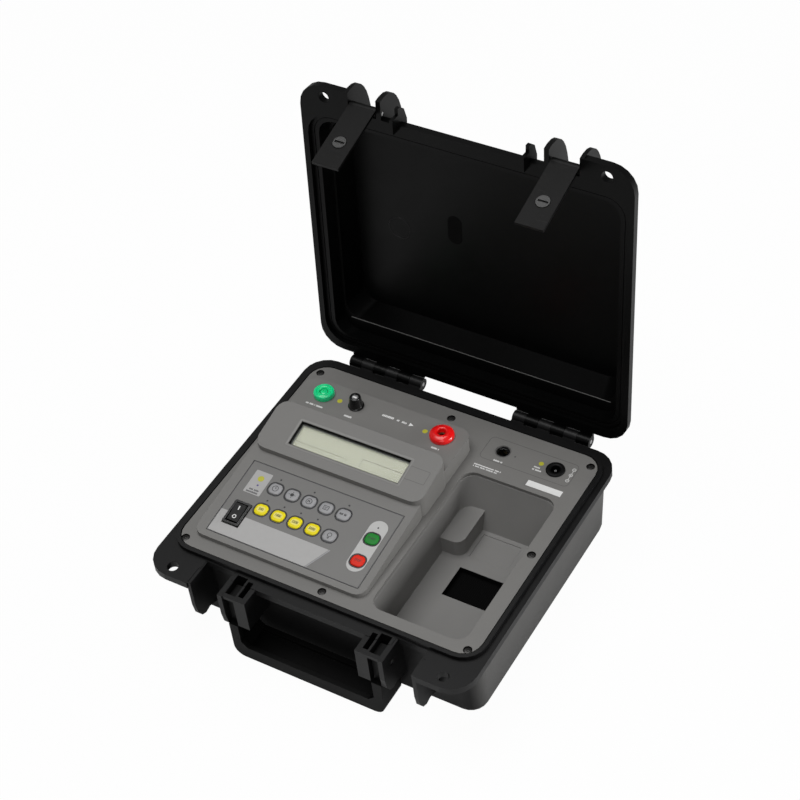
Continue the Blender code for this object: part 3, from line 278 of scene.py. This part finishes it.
# A mesh from an array of rings (count, points, 3): quads join each ring to the next, the ends get
# flat caps, or with loop the last ring joins the first.
def ringMesh(name, rings, loop=False, caps=True, closed=True):
    rings = np.asarray(rings, dtype=float) * mm
    count, points = rings.shape[:2]
    index = np.arange(count * points).reshape(count, points)
    here = index if closed else index[:, :-1]
    beside = np.roll(index, -1, axis=1) if closed else index[:, 1:]
    if loop:
        lower, lowerBeside = here, beside
        upper, upperBeside = np.roll(here, -1, axis=0), np.roll(beside, -1, axis=0)
    else:
        lower, lowerBeside, upper, upperBeside = here[:-1], beside[:-1], here[1:], beside[1:]
    faces = np.stack([lower, lowerBeside, upperBeside, upper], axis=-1).reshape(-1, 4).tolist()
    if caps and closed and not loop:
        faces += [index[0][::-1].tolist(), index[-1].tolist()]
    mesh = bpy.data.meshes.new(name)
    mesh.from_pydata(rings.reshape(-1, 3).tolist(), [], faces)
    mesh.update()
    return facedOut(mesh)


# Doubles merged and normals turned outwards.
def facedOut(mesh):
    bm = bmesh.new()
    bm.from_mesh(mesh)
    bmesh.ops.remove_doubles(bm, verts=bm.verts, dist=1e-6)
    bmesh.ops.recalc_face_normals(bm, faces=bm.faces)
    bm.to_mesh(mesh)
    bm.free()
    return mesh


# Points around a rectangle whose corners are quarter circles, anticlockwise.
def roundedOutline(at, size, radius, steps=8):
    radius = max(0.01, min(radius, size[0] / 2 - 0.001, size[1] / 2 - 0.001))
    turn = np.linspace(0, math.pi / 2, steps)
    run = [np.stack([sx * (size[0] / 2 - radius) + radius * np.cos(turn + q * math.pi / 2),
                     sy * (size[1] / 2 - radius) + radius * np.sin(turn + q * math.pi / 2)], axis=-1)
           for sx, sy, q in ((1, 1, 0), (-1, 1, 1), (-1, -1, 2), (1, -1, 3))]
    return np.concatenate(run) + np.array(at)


# Rounded rectangles carried through a profile of (inset, height); loop joins the profile's ends.
def swept(name, at, size, radius, profile, loop=False, steps=8):
    rings = []
    for inset, height in profile:
        flat = roundedOutline(at, (size[0] - 2 * inset, size[1] - 2 * inset), radius - inset, steps)
        rings.append(np.column_stack([flat, np.full(len(flat), height)]))
    return ringMesh(name, rings, loop)


# A flat line of even width around a rounded rectangle.
def outlined(name, at, size, radius, width, heights, steps=8):
    low, high = heights
    return swept(name, at, size, radius, [(0, low), (0, high), (width, high), (width, low)], True, steps)


# A turned shape: the profile (radius, height) carried round a circle.
def lathed(name, at, profile, loop=False, steps=64):
    turn = np.linspace(0, 2 * math.pi, steps, endpoint=False)
    rings = []
    for radius, height in profile:
        radius = max(radius, 0.0005)
        rings.append(np.column_stack([at[0] + radius * np.cos(turn), at[1] + radius * np.sin(turn),
                                      np.full(steps, at[2] + height)]))
    return ringMesh(name, rings, loop)


# Several meshes as one.
def merged(name, meshes):
    bm = bmesh.new()
    for mesh in meshes:
        bm.from_mesh(mesh)
    whole = bpy.data.meshes.new(name)
    bm.to_mesh(whole)
    bm.free()
    return whole


# A curve object as a clean mesh.
def curveMesh(name, curve):
    holder = bpy.data.objects.new(name, curve)
    bpy.context.scene.collection.objects.link(holder)
    bpy.context.view_layer.update()
    mesh = bpy.data.meshes.new_from_object(holder.evaluated_get(bpy.context.evaluated_depsgraph_get()))
    bpy.data.objects.remove(holder, do_unlink=True)
    return facedOut(mesh)


# Flat shapes given a thickness: a loop inside another loop is a hole.
def printed(name, loops, low, high):
    curve = bpy.data.curves.new(name, "CURVE")
    curve.dimensions = "2D"
    curve.fill_mode = "BOTH"
    curve.extrude = (high - low) / 2 * mm
    for points in loops:
        spline = curve.splines.new("POLY")
        flat = np.column_stack([np.array(points, dtype=float) * mm, np.zeros(len(points)),
                                np.ones(len(points))])
        spline.points.add(len(points) - 1)
        spline.points.foreach_set("co", flat.ravel())
        spline.use_cyclic_u = True
    mesh = curveMesh(name, curve)
    mesh.transform(Matrix.Translation((0, 0, (low + high) / 2 * mm)))
    return mesh


letters = {"scale": 1.35, "swell": 0.00003}


# Plain figures or words as a thin slab, centred on a point.
def lettering(name, words, at, height, low, high, squeeze=1.0):
    curve = bpy.data.curves.new(name, "FONT")
    curve.body = words
    curve.size = height * mm * letters["scale"]
    curve.align_x = "CENTER"
    curve.align_y = "CENTER"
    curve.extrude = (high - low) / 2 * mm
    curve.resolution_u = 3
    curve.offset = letters["swell"]
    mesh = curveMesh(name, curve)
    mesh.transform(Matrix.Translation(Vector((at[0], at[1], (low + high) / 2)) * mm)
                   @ Matrix.Diagonal((squeeze, 1.0, 1.0, 1.0)))
    return mesh


def circle(at, radius, steps=28):
    turn = np.linspace(0, 2 * math.pi, steps, endpoint=False)
    return np.column_stack([at[0] + radius * np.cos(turn), at[1] + radius * np.sin(turn)])


def bar(left, right, front, back):
    return [(left, front), (right, front), (right, back), (left, back)]


# A size with the same margin added on every side.
def grown(size, margin):
    return (size[0] + 2 * margin, size[1] + 2 * margin)


# The share of strokes left out, the width of one within its pitch, and the least height of one.
strokes = {"gaps": 0.12, "fill": 0.74, "least": 0.55}


# A row of small upright strokes of uneven height, which stands for a line of small print.
def smallPrint(left, right, y, height, seed, pitch=0.85):
    dice = np.random.default_rng(seed)
    rows = []
    for x in np.arange(left, right - 0.4, pitch):
        if dice.random() > strokes["gaps"]:
            top = y + height / 2 * dice.uniform(strokes["least"], 1.0)
            rows.append(bar(x, x + pitch * strokes["fill"], y - height / 2, top))
    return rows


weldGap = 0.00002
mostCorners = 24


# A CAD node's shape with softened edges: merged, flats joined, faces of many corners cut into
# triangles, bevelled, then shown in its place.
def refined(node, paint, body, edge=0.5, angle=28.0, segments=2):
    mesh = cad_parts[node].data.copy()
    bm = bmesh.new()
    bm.from_mesh(mesh)
    bmesh.ops.remove_doubles(bm, verts=bm.verts, dist=weldGap)
    bmesh.ops.dissolve_limit(bm, angle_limit=math.radians(1.0), verts=bm.verts, edges=bm.edges)
    bmesh.ops.triangulate(bm, faces=[face for face in bm.faces if len(face.verts) > mostCorners])
    bm.to_mesh(mesh)
    bm.free()
    thing = piece(node + "_shown", mesh, paint, body, smooth=angle)
    soft = thing.modifiers.new("softEdges", "BEVEL")
    soft.width = edge * mm
    soft.segments = segments
    soft.limit_method = "ANGLE"
    soft.angle_limit = math.radians(angle)
    soft.use_clamp_overlap = True
    even = thing.modifiers.new("evenNormals", "WEIGHTED_NORMAL")
    even.keep_sharp = True
    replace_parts(thing, node)


# Gives a carried-over CAD node its finish.
def repaint(node, paint):
    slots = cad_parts[node].data.materials
    slots.clear()
    slots.append(finish[paint])


refined("base_shell", "caseBlack", "base", 0.6)
refined("lid_shell", "lidBlack", "lid", 0.6)
refined("handle", "handleBlack", "handle", 0.8)
for side in ("left", "right"):
    refined("latch_" + side, "latchGrey", "latch_" + side, 0.4)
    refined("coin_lock_" + side, "lockGrey", "coin_lock_" + side, 0.3)
    repaint("hinge_pin_" + side, "pinSteel")
    repaint("latch_pin_" + side, "pinSteel")
    repaint("handle_pin_" + side, "pinSteel")
repaint("lid_gasket", "sealBlack")

# Ejector marks left by the mould on the lid's ceiling, and a pale strip along the ledge's edge that is a
# painted highlight, in the lid's shut position.
lidMarksAndLedgeHighlight = {"ceiling": 103.7, "width": 0.9, "depth": 0.25, "round": ((-78.0, 5.9), 10.0),
            "oval": ((-28.3, -8.0), (12.5, 26.0)), "ledge": (-116.0, 116.0, 92.6, 93.2), "ledgeZ": 82.7}
(roundX, roundY), roundRadius = lidMarksAndLedgeHighlight["round"]
markProfile = [(roundRadius, 0.02), (roundRadius - 0.2, -lidMarksAndLedgeHighlight["depth"]),
               (roundRadius - lidMarksAndLedgeHighlight["width"], -lidMarksAndLedgeHighlight["depth"]),
               (roundRadius - lidMarksAndLedgeHighlight["width"] - 0.2, 0.02)]
piece("lid_mark_round", lathed("lid_mark_round", (roundX, roundY, lidMarksAndLedgeHighlight["ceiling"]), markProfile,
                               True), "rimBlack", "lid", lidTurn)
ovalShape = roundedOutline(lidMarksAndLedgeHighlight["oval"][0], lidMarksAndLedgeHighlight["oval"][1], 6.2)
piece("lid_mark_oval", printed("lid_mark_oval", [ovalShape], lidMarksAndLedgeHighlight["ceiling"] - 0.1,
                               lidMarksAndLedgeHighlight["ceiling"] + 0.1), "blackHole", "lid", lidTurn)
piece("lid_ledge_highlight", printed("lid_ledge_highlight", [bar(*lidMarksAndLedgeHighlight["ledge"])], lidMarksAndLedgeHighlight["ledgeZ"] - 0.2,
                                lidMarksAndLedgeHighlight["ledgeZ"] + 0.1), "ledgePale", "lid", lidTurn)

# A strip on the lid that closes the view past each row of knuckles, just clear of the barrels.
cover = {"from": 41.8, "to": 107.2, "outline": [(118.7, 69.4), (119.46, 69.1), (120.24, 70.3),
                                                (118.7, 73.0)]}
strips = []
for sign in (-1, 1):
    ends = [[(sign * x, y, z) for y, z in cover["outline"]] for x in (cover["from"], cover["to"])]
    strips.append(ringMesh("hinge_cover", ends))
piece("hinge_cover", merged("hinge_cover", strips), "lidBlack", "lid", lidTurn)
print("case dressed")

refined("front_panel", "panelGrey", "base", 1.3, 28.0, 3)
refined("storage_tray", "wellGrey", "base", 0.8)
repaint("pocket_liner", "pocketBlack")
refined("keypad_overlay", "filmGrey", "base", 0.08)
rivet = {"at": (94.2, 15.0, 28.7), "radius": 1.1}
pocket = {"centre": (78.75, -17.5), "size": (37.4, 28.9), "heights": (-49.8, -42.1)}
piece("well_rivet", lathed("well_rivet", rivet["at"],
                           [(rivet["radius"], -0.05), (rivet["radius"], 0.3),
                            (rivet["radius"] * 0.6, 0.6), (0, 0.7)], False, 24), "pinSteel")
piece("pocket_walls", outlined("pocket_walls", pocket["centre"], pocket["size"], 0.2, 0.2,
                               pocket["heights"]), "blackHole", "base", panelFace)
print("panel dressed")

# The film's printing: an edge line, the bare name band, a pale patch, a strip under START and STOP,
# and the small lamps over the keys. Places are on the keypad's face.
film = {"centre": (-41.95, -2.95), "size": (133.3, 69.6), "line": 0.55, "band": 0.09, "lampRadius": 0.75,
        "patchAt": (-94.4, 14.4), "patchSize": (14.6, 21.6), "stripAt": (12.4, -2.6),
        "stripSize": (14.8, 47.6)}
piece("film_line", outlined("film_line", film["centre"], film["size"], 1.2, film["line"], (-0.1, 0.05)),
      "printGrey", "base", keypadFace)
bandShape = [(-108.0, -16.7), (-101.8, -16.7), (-101.8, -27.8), (-86.6, -27.8), (-86.6, -16.9),
             (-12.3, -17.0), (-21.9, -37.1), (-108.0, -37.1)]
piece("name_band", printed("name_band", [bandShape], -0.1, film["band"]), "bandGrey", "base", keypadFace)
bandEdge = [(-12.0, -17.0), (-10.9, -17.0), (-20.5, -37.1), (-21.6, -37.1)]
piece("name_band_edge", printed("name_band_edge", [bandEdge], -0.1, 0.06), "keyGrey", "base", keypadFace)
piece("lamp_patch", printed("lamp_patch", [roundedOutline(film["patchAt"], film["patchSize"], 0.8)],
                            -0.1, 0.09), "bandGrey", "base", keypadFace)
piece("patch_spot", printed("patch_spot", [circle((-94.4, 18.6), 2.6)], 0.0, 0.16), "printYellow",
      "base", keypadFace)
patchRows = smallPrint(-99.0, -90.0, 7.6, 1.5, 3) + smallPrint(-99.6, -89.0, 5.2, 1.5, 4)
piece("patch_rows", printed("patch_rows", patchRows, 0.0, 0.14), "printGrey", "base", keypadFace)
lamps = [(-79.2, 23.8), (-49.2, 23.9), (-18.5, 23.9), (-78.9, 3.0), (-63.5, 3.0), (-48.8, 3.2),
         (-34.1, 3.4), (11.9, 14.8)]
piece("lamps", merged("lamps", [lathed("lamp", (x, y, 0.0),
                                       [(film["lampRadius"], -0.3), (film["lampRadius"], 0.08),
                                        (0.4, 0.2), (0, 0.22)], False, 20) for x, y in lamps]),
      "printDark", "base", keypadFace)
piece("patch_lamp", lathed("patch_lamp", (-93.6, 12.3, 0.0), [(0.8, -0.1), (0.8, 0.2), (0, 0.3)], False,
                           20), "printViolet", "base", keypadFace)

keys = {"size": (10.8, 9.8), "radius": 3.9, "firstX": -78.8, "pitch": 15.12, "backRow": 14.7,
        "frontRow": -6.1, "rightX": 12.5, "startY": 4.2, "stopY": -16.8, "ringOut": 1.3, "holeOut": 1.1,
        "ringWidth": 1.0, "top": 0.93}
keyList = [(f"key_back_{i + 1}", keys["firstX"] + i * keys["pitch"], keys["backRow"], "keyGrey")
           for i in range(5)]
keyList += [(f"key_front_{i + 1}", keys["firstX"] + i * keys["pitch"], keys["frontRow"],
             "keyYellow" if i < 4 else "keyGrey") for i in range(5)]
keyList += [("key_start", keys["rightX"], keys["startY"], "keyGreen"),
            ("key_stop", keys["rightX"], keys["stopY"], "keyRed")]
spotOf = {node: (x, y) for node, x, y, paint in keyList}
keyRings = []
for node, x, y, paint in keyList:
    cap = piece(node + "_cap", swept(node, (x, y), keys["size"], keys["radius"],
                                     [(0.0, -2.2), (0.05, 0.1), (0.25, 0.5), (0.7, 0.78), (1.4, 0.88),
                                      (2.6, keys["top"])]), paint, node, keypadFace)
    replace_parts(cap, node)
    ringRadius = keys["radius"] + keys["ringOut"]
    keyRings.append(outlined(node, (x, y), grown(keys["size"], keys["ringOut"]), ringRadius,
                             keys["ringWidth"], (-0.02, 0.13)))
piece("key_outlines", merged("key_outlines", keyRings), "printDark", "base", keypadFace)
holeRadius = keys["radius"] + keys["holeOut"]
stripHoles = [roundedOutline(spotOf[node], grown(keys["size"], keys["holeOut"]), holeRadius)
              for node in ("key_start", "key_stop")]
piece("start_strip", printed("start_strip", [roundedOutline(film["stripAt"], film["stripSize"], 7.3)]
                             + stripHoles, -0.1, 0.10), "stripGrey", "base", keypadFace)

# What is printed on each key: loops are counted from the key's centre.
glyphTop = keys["top"] + 0.06
keyGlyphs = {
    "key_back_1": [circle((0, 0), 2.6), circle((0, 0), 2.15), bar(-0.2, 0.2, 0, 1.7),
                   bar(0.2, 1.3, -0.2, 0.2)],
    "key_back_2": [circle((0, 0), 1.5), bar(-3.0, -2.0, -0.25, 0.25), bar(2.0, 3.0, -0.25, 0.25),
                   bar(-0.25, 0.25, 1.9, 2.7), bar(-0.25, 0.25, -2.7, -1.9)],
    "key_back_3": [circle((0, 0), 2.6), circle((0, 0), 2.15), bar(-1.1, -0.7, -1.2, 0.8),
                   bar(0.7, 1.1, -1.2, 0.8), bar(-0.7, 0.7, 0.4, 0.8)],
    "key_back_4": [bar(-2.3, 2.3, -1.9, 1.9), bar(-1.9, 1.9, -1.5, 1.5), bar(-1.2, 0.9, 0.3, 0.7),
                   bar(-1.2, 0.3, -0.7, -0.3)],
    "key_back_5": smallPrint(-3.0, 3.2, 0.0, 1.7, 11, 1.0),
    "key_front_5": [circle((0, 0.6), 1.9), circle((0, 0.6), 1.45), bar(-0.9, 0.9, -2.3, -1.7),
                    bar(-0.7, 0.7, -3.0, -2.6)],
}
for node, loops in keyGlyphs.items():
    shifted = [np.array(points, dtype=float) + np.array(spotOf[node]) for points in loops]
    piece(node + "_sign", printed(node + "_sign", shifted, keys["top"] - 0.08, glyphTop), "printDark",
          node, keypadFace)
for node, words in (("key_front_1", "500"), ("key_front_2", "1000"), ("key_front_3", "2500"),
                    ("key_front_4", "5000")):
    piece(node + "_pale", swept(node, spotOf[node], (7.6, 5.4), 2.6,
                                [(0, keys["top"] - 0.2), (0.2, keys["top"] + 0.02)]), "keyPale", node,
          keypadFace)
    piece(node + "_figure", lettering(node, words, spotOf[node], 2.3, keys["top"], glyphTop + 0.04,
                                      0.85), "printDark", node, keypadFace)
for node, words in (("key_start", "START"), ("key_stop", "STOP")):
    piece(node + "_word", lettering(node, words, spotOf[node], 1.9, keys["top"] - 0.05, glyphTop, 0.85),
          "printDark", node, keypadFace)
print("keys made")

# Rocker: the paddle's two slopes carry a stroke and a ring.
rockerFace = {"middleX": -94.2, "backSlope": 12.0, "frontSlope": 6.0}
refined("rocker_frame", "glossBlack", "base", 0.35)
refined("rocker", "rimBlack", "rocker", 0.35)
rockerMarks = {
    "rocker_stroke": ([bar(-0.45, 0.45, -1.7, 1.7)], -12.6, 2.47, rockerFace["backSlope"]),
    "rocker_ring": ([circle((0, 0), 1.7), circle((0, 0), 1.05)], -20.1, 1.34, rockerFace["frontSlope"]),
}
for name, (loops, y, height, slope) in rockerMarks.items():
    tilt = (Matrix.Translation(Vector((rockerFace["middleX"], y, height)) * mm)
            @ Matrix.Rotation(math.radians(slope), 4, "X"))
    piece(name, printed(name, loops, -0.1, 0.1), "printWhite", "rocker", keypadFace @ tilt)
print("rocker made")

# Display: near-black walls down to the window, partly the bezel's dark plastic and partly painted shade
# in the recess, a lip around the opening painted paler than the panel as a highlight, and faint marks on
# the glass.
window = {"centre": (-41.25, 0.0), "size": (97.5, 22.0), "wall": 0.24, "top": -0.35, "foot": -4.75,
          "lip": 2.2, "glass": -4.8}
repaint("display_window", "windowClear")
repaint("display_module", "lcdFace")
piece("display_walls", outlined("display_walls", window["centre"], grown(window["size"], -0.05), 0.5,
                                window["wall"], (window["foot"], window["top"])), "blackHole", "base",
      displayFace)
lipSize = grown(window["size"], window["lip"])
piece("display_lip", swept("display_lip", window["centre"], lipSize, 2.0,
                           [(0, -0.1), (0.25, 0.14), (1.5, 0.16), (2.1, -0.1)], True), "panelPale",
      "base", displayFace)
tickSpots = np.arange(-87.0, -43.0, 1.8)
ticks = [bar(x, x + 0.25, -4.2, -4.2 + (1.5 if i % 5 == 0 else 0.8)) for i, x in enumerate(tickSpots)]
lcdShapes = ticks + [bar(-88.0, -42.0, -4.5, -4.2), bar(-42.0, -41.7, -6.5, -3.0),
                     bar(-30.2, -29.8, -7.6, 0.6), bar(-29.8, 4.5, 0.2, 0.6)]
piece("lcd_marks", printed("lcd_marks", lcdShapes, window["glass"] - 0.02, window["glass"] + 0.05),
      "lcdMark", "base", displayFace)
# A faint darker outline right of the window stands for the edge of a shallow plate: painted shade.
piece("display_plate", outlined("display_plate", (18.0, 0.8), (17.5, 12.0), 1.0, 0.35, (-0.1, 0.03)),
      "panelLine", "base", displayFace)
print("display made")

socketRow = {"shelfY": 64.8, "portY": 82.3}
# Sockets are turned: each profile is (radius, height over the shelf), up its outside and down its bore.
sockets = {
    "earth_socket": ("socketGreen", -95.5, [(3.4, -14.0), (6.0, -14.0), (6.0, 0.3), (8.3, 0.3),
                                            (8.3, 3.4), (8.0, 4.2), (7.2, 4.75), (6.4, 4.8), (6.0, 4.5),
                                            (5.7, 3.9), (5.2, 3.7), (4.7, 3.9), (4.3, 4.3), (3.7, 4.3),
                                            (3.4, 3.9)]),
    "guard_socket": ("glossBlack", -66.0, [(2.9, -14.0), (5.0, -14.0), (5.0, 0.3), (6.4, 0.3),
                                           (6.4, 1.0), (5.7, 1.4), (5.4, 1.9), (4.6, 9.4), (4.4, 10.0),
                                           (4.0, 10.3), (3.2, 10.3), (2.9, 10.0)]),
    "output_socket": ("socketRed", 11.0, [(3.4, -14.0), (7.0, -14.0), (7.0, 0.3), (9.8, 0.3), (9.8, 2.3),
                                          (9.4, 3.3), (8.4, 4.2), (7.2, 4.9), (6.0, 5.3), (4.6, 5.4),
                                          (3.8, 5.2), (3.4, 4.7)]),
    "dc_jack": ("handleBlack", 98.7, [(3.9, -10.0), (0.0, -10.0), (0.0, -12.0), (5.3, -12.0), (5.3, 0.3),
                                      (7.5, 0.3), (7.5, 0.8), (7.2, 1.2), (6.5, 1.6), (4.4, 1.6),
                                      (3.9, 1.2)]),
}
for node, (paint, x, profile) in sockets.items():
    if node == "dc_jack":
        at = (x, socketRow["portY"], case["panelTop"])
    else:
        at = (x, socketRow["shelfY"], case["shelfTop"])
    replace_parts(piece(node + "_shown", lathed(node, at, profile, True), paint), node)
coreAt = (sockets["earth_socket"][1], socketRow["shelfY"], case["shelfTop"])
piece("earth_core", lathed("earth_core", coreAt,
                           [(2.7, 1.9), (2.7, 3.3), (2.3, 3.6), (1.3, 3.6), (1.0, 3.1), (0, 3.1)]),
      "socketGreen")
# The contacts deep in the earth and output bores get a darkened brass: painted shade.
repaint("earth_contact", "contactDark")
repaint("output_contact", "contactDark")
repaint("guard_contact", "pinSteel")
repaint("comms_contacts", "brass")
repaint("dc_pin", "pinSteel")
repaint("blank_label", "printWhite")
refined("comms_port", "glossBlack", "base", 0.25)
piece("comms_rim", lathed("comms_rim", (53.6, 82.6, case["panelTop"]),
                          [(5.55, -0.4), (6.3, -0.1), (6.3, 0.12), (5.9, 0.2), (5.45, 0.1)], True),
      "panelLine")

# Marks on the panel beside the ports.
portLine = {"centre": (76.4, 82.0), "size": (75.8, 24.0), "radius": 4.0, "width": 0.4}
piece("port_line", outlined("port_line", portLine["centre"], portLine["size"], portLine["radius"],
                            portLine["width"], (-0.1, 0.04)), "panelLine", "base", panelFace)
whiteOnPanel = (smallPrint(39.4, 62.6, 62.4, 1.3, 21) + smallPrint(39.6, 60.4, 60.3, 1.3, 22)
                + smallPrint(51.0, 58.5, 71.9, 1.6, 23) + smallPrint(82.3, 87.4, 79.0, 1.4, 24)
                + smallPrint(82.0, 89.6, 76.3, 1.6, 25))
for y, inner in ((76.4, "minus"), (82.4, "dot"), (88.4, "plus")):
    whiteOnPanel += [circle((111.6, y), 1.5), circle((111.6, y), 1.1)]
    if inner == "dot":
        whiteOnPanel.append(circle((111.6, y), 0.5))
    else:
        whiteOnPanel.append(bar(110.9, 112.3, y - 0.15, y + 0.15))
whiteOnPanel += [bar(111.45, 111.75, 77.9, 80.9), bar(111.45, 111.75, 83.9, 86.9)]
piece("panel_print", printed("panel_print", whiteOnPanel, -0.05, 0.06), "printWhite", "base", panelFace)
piece("panel_dot", printed("panel_dot", [circle((64.6, 81.5), 0.6)], -0.05, 0.05), "printDark", "base",
      panelFace)
piece("panel_spot", printed("panel_spot", [circle((86.0, 83.6), 2.0)], -0.05, 0.06), "printYellow",
      "base", panelFace)

# Marks on the socket shelf, and a small white patch on top of the guard post.
whiteOnShelf = (smallPrint(-104.4, -89.4, 51.9, 1.7, 31) + smallPrint(-69.4, -62.4, 52.2, 1.9, 32)
                + smallPrint(9.2, 15.8, 51.4, 1.9, 33) + smallPrint(-43.6, -31.0, 65.2, 2.2, 34, 1.3)
                + smallPrint(-29.0, -19.4, 65.0, 1.9, 35, 1.1)
                + [[(-18.0, 63.2), (-14.4, 65.0), (-18.0, 66.8)]])
piece("shelf_print", printed("shelf_print", whiteOnShelf, -0.05, 0.06), "printWhite", "base", shelfFace)
piece("shelf_spots", printed("shelf_spots", [circle((-80.6, 63.9), 2.1), circle((-3.4, 63.7), 2.1)],
                             -0.05, 0.06), "printYellow", "base", shelfFace)
guardAt = (sockets["guard_socket"][1], socketRow["shelfY"])
piece("guard_white_spot", printed("guard_white_spot", [roundedOutline(guardAt, (3.6, 1.8), 0.8)], 9.5, 9.72),
      "printWhite", "base", shelfFace)
print("sockets made")

# Panel screws sit deep in wells: a ring, a cone, and a socket in the middle; the wells are lined near
# black as painted shade.
screws = {"x": 121.1, "y": 96.8, "head": [(1.3, -14.0), (1.3, -1.4), (2.9, -1.4), (2.9, -1.0),
                                          (2.3, -0.7), (1.3, -0.6), (1.0, -1.2), (0, -1.3)],
          "well": [(3.38, -1.6), (3.38, -0.1), (3.05, -0.25), (3.0, -1.6)]}
screwSpots = [(x, y) for x in (-screws["x"], 0.0, screws["x"]) for y in (-screws["y"], 0.0, screws["y"])
              if (x, y) != (0.0, 0.0)]
screwWells = []
for i, (x, y) in enumerate(screwSpots):
    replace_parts(piece(f"panel_screw_{i + 1}_shown",
                      lathed("screw", (x, y, case["panelTop"]), screws["head"], False, 32), "screwDark"),
                f"panel_screw_{i + 1}")
    screwWells.append(lathed("well", (x, y, case["panelTop"]), screws["well"], True, 32))
# The near-black well linings are painted shade.
piece("screw_wells", merged("screw_wells", screwWells), "blackHole")
for node in ("main_board", "keypad_board"):
    repaint(node, "boardGreen")
for node in ("battery_pack", "capacitor_bank"):
    repaint(node, "cellBlue")
for node in ("hv_transformer", "wiring_harness"):
    repaint(node, "glossBlack")
print("screws made")

studio = {"lens": 91.35, "right": (0.8610, 0.5003, -0.0925), "up": (-0.2990, 0.6447, 0.7034),
          "back": (0.4115, -0.5780, 0.7046), "eye": (0.6142, -0.8311, 1.2035), "sensor": 36.0,
          "clipEnd": 20.0, "ambient": 0.11, "mirror": 0.12, "floorSeen": 0.97, "floorThrough": 0.95,
          "floorHalf": 3000, "floorZ": -0.4}
studioLamps = {
    "overhead": {"at": (-0.30, 0.0, 1.7), "target": (0.0, 0.0, 0.1), "size": 1.2, "watts": 17.5},
    "frontRight": {"at": (0.7, -1.2, 1.3), "target": (0.0, 0.0, 0.1), "size": 0.9, "watts": 4.5},
    "rightSide": {"at": (1.5, 0.45, 0.24), "target": (0.1, 0.0, 0.05), "size": 0.6, "watts": 17.0},
}


# A square area lamp pointed at a spot.
def softLight(name, at, target, size, watts):
    lamp = bpy.data.lights.new(name, "AREA")
    lamp.energy = watts
    lamp.size = size
    holder = bpy.data.objects.new(name, lamp)
    holder.location = at
    holder.rotation_euler = (Vector(target) - Vector(at)).to_track_quat("-Z", "Y").to_euler()
    bpy.context.scene.collection.objects.link(holder)


# Signals that are 1 for rays from the camera, off a mirror and through glass.
def rayKinds(wire):
    return [wire.node("ShaderNodeLightPath", out=kind) for kind in (0, 3, 6)]


camera = bpy.data.cameras.new("camera")
camera.lens = studio["lens"]
camera.sensor_width = studio["sensor"]
camera.clip_end = studio["clipEnd"]
cameraHolder = bpy.data.objects.new("camera", camera)
bpy.context.scene.collection.objects.link(cameraHolder)
cameraTurn = Matrix((studio["right"], studio["up"], studio["back"])).transposed()
cameraHolder.matrix_world = Matrix.Translation(studio["eye"]) @ cameraTurn.to_4x4()
bpy.context.scene.camera = cameraHolder

for name, settings in studioLamps.items():
    softLight(name, **settings)

world = bpy.data.worlds.new("studio")
world.use_nodes = True
bpy.context.scene.world = world
sky = world.node_tree.nodes["Background"]
straight, mirrored, through = rayKinds(Wire(world.node_tree, None))
rest = 1.0 - studio["ambient"]
strength = straight * rest + through * rest + mirrored * studio["mirror"] + studio["ambient"]
world.node_tree.links.new(strength.socket, sky.inputs["Strength"])
sky.inputs["Color"].default_value = (1.0, 1.0, 1.0, 1.0)

half, low = studio["floorHalf"], studio["floorZ"]
floorRows = [[(-half, y, low), (half, y, low)] for y in (-half, half)]
floorMesh = ringMesh("floor", floorRows, caps=False, closed=False)
floorPaint, floorShader, floorPlace = newPaint("floorWhite", 0.9)
floorShader.inputs["Base Color"].default_value = (0.9, 0.9, 0.9, 1.0)
tree = floorPaint.node_tree
glow = floorPlace.node("ShaderNodeEmission", {"Color": (1, 1, 1, 1), "Strength": 1.0})
straight, mirrored, through = rayKinds(floorPlace)
share = straight * studio["floorSeen"] + mirrored * studio["mirror"] + through * studio["floorThrough"]
white = floorPlace.node("ShaderNodeMixShader", {0: share, 1: Wire(tree, floorShader.outputs[0]), 2: glow})
tree.links.new(white.socket, tree.nodes["Material Output"].inputs["Surface"])
floorMesh.materials.append(floorPaint)
floor = bpy.data.objects.new("floor", floorMesh)
bpy.context.scene.collection.objects.link(floor)
bpy.context.scene.view_settings.view_transform = "Standard"
print("studio made")
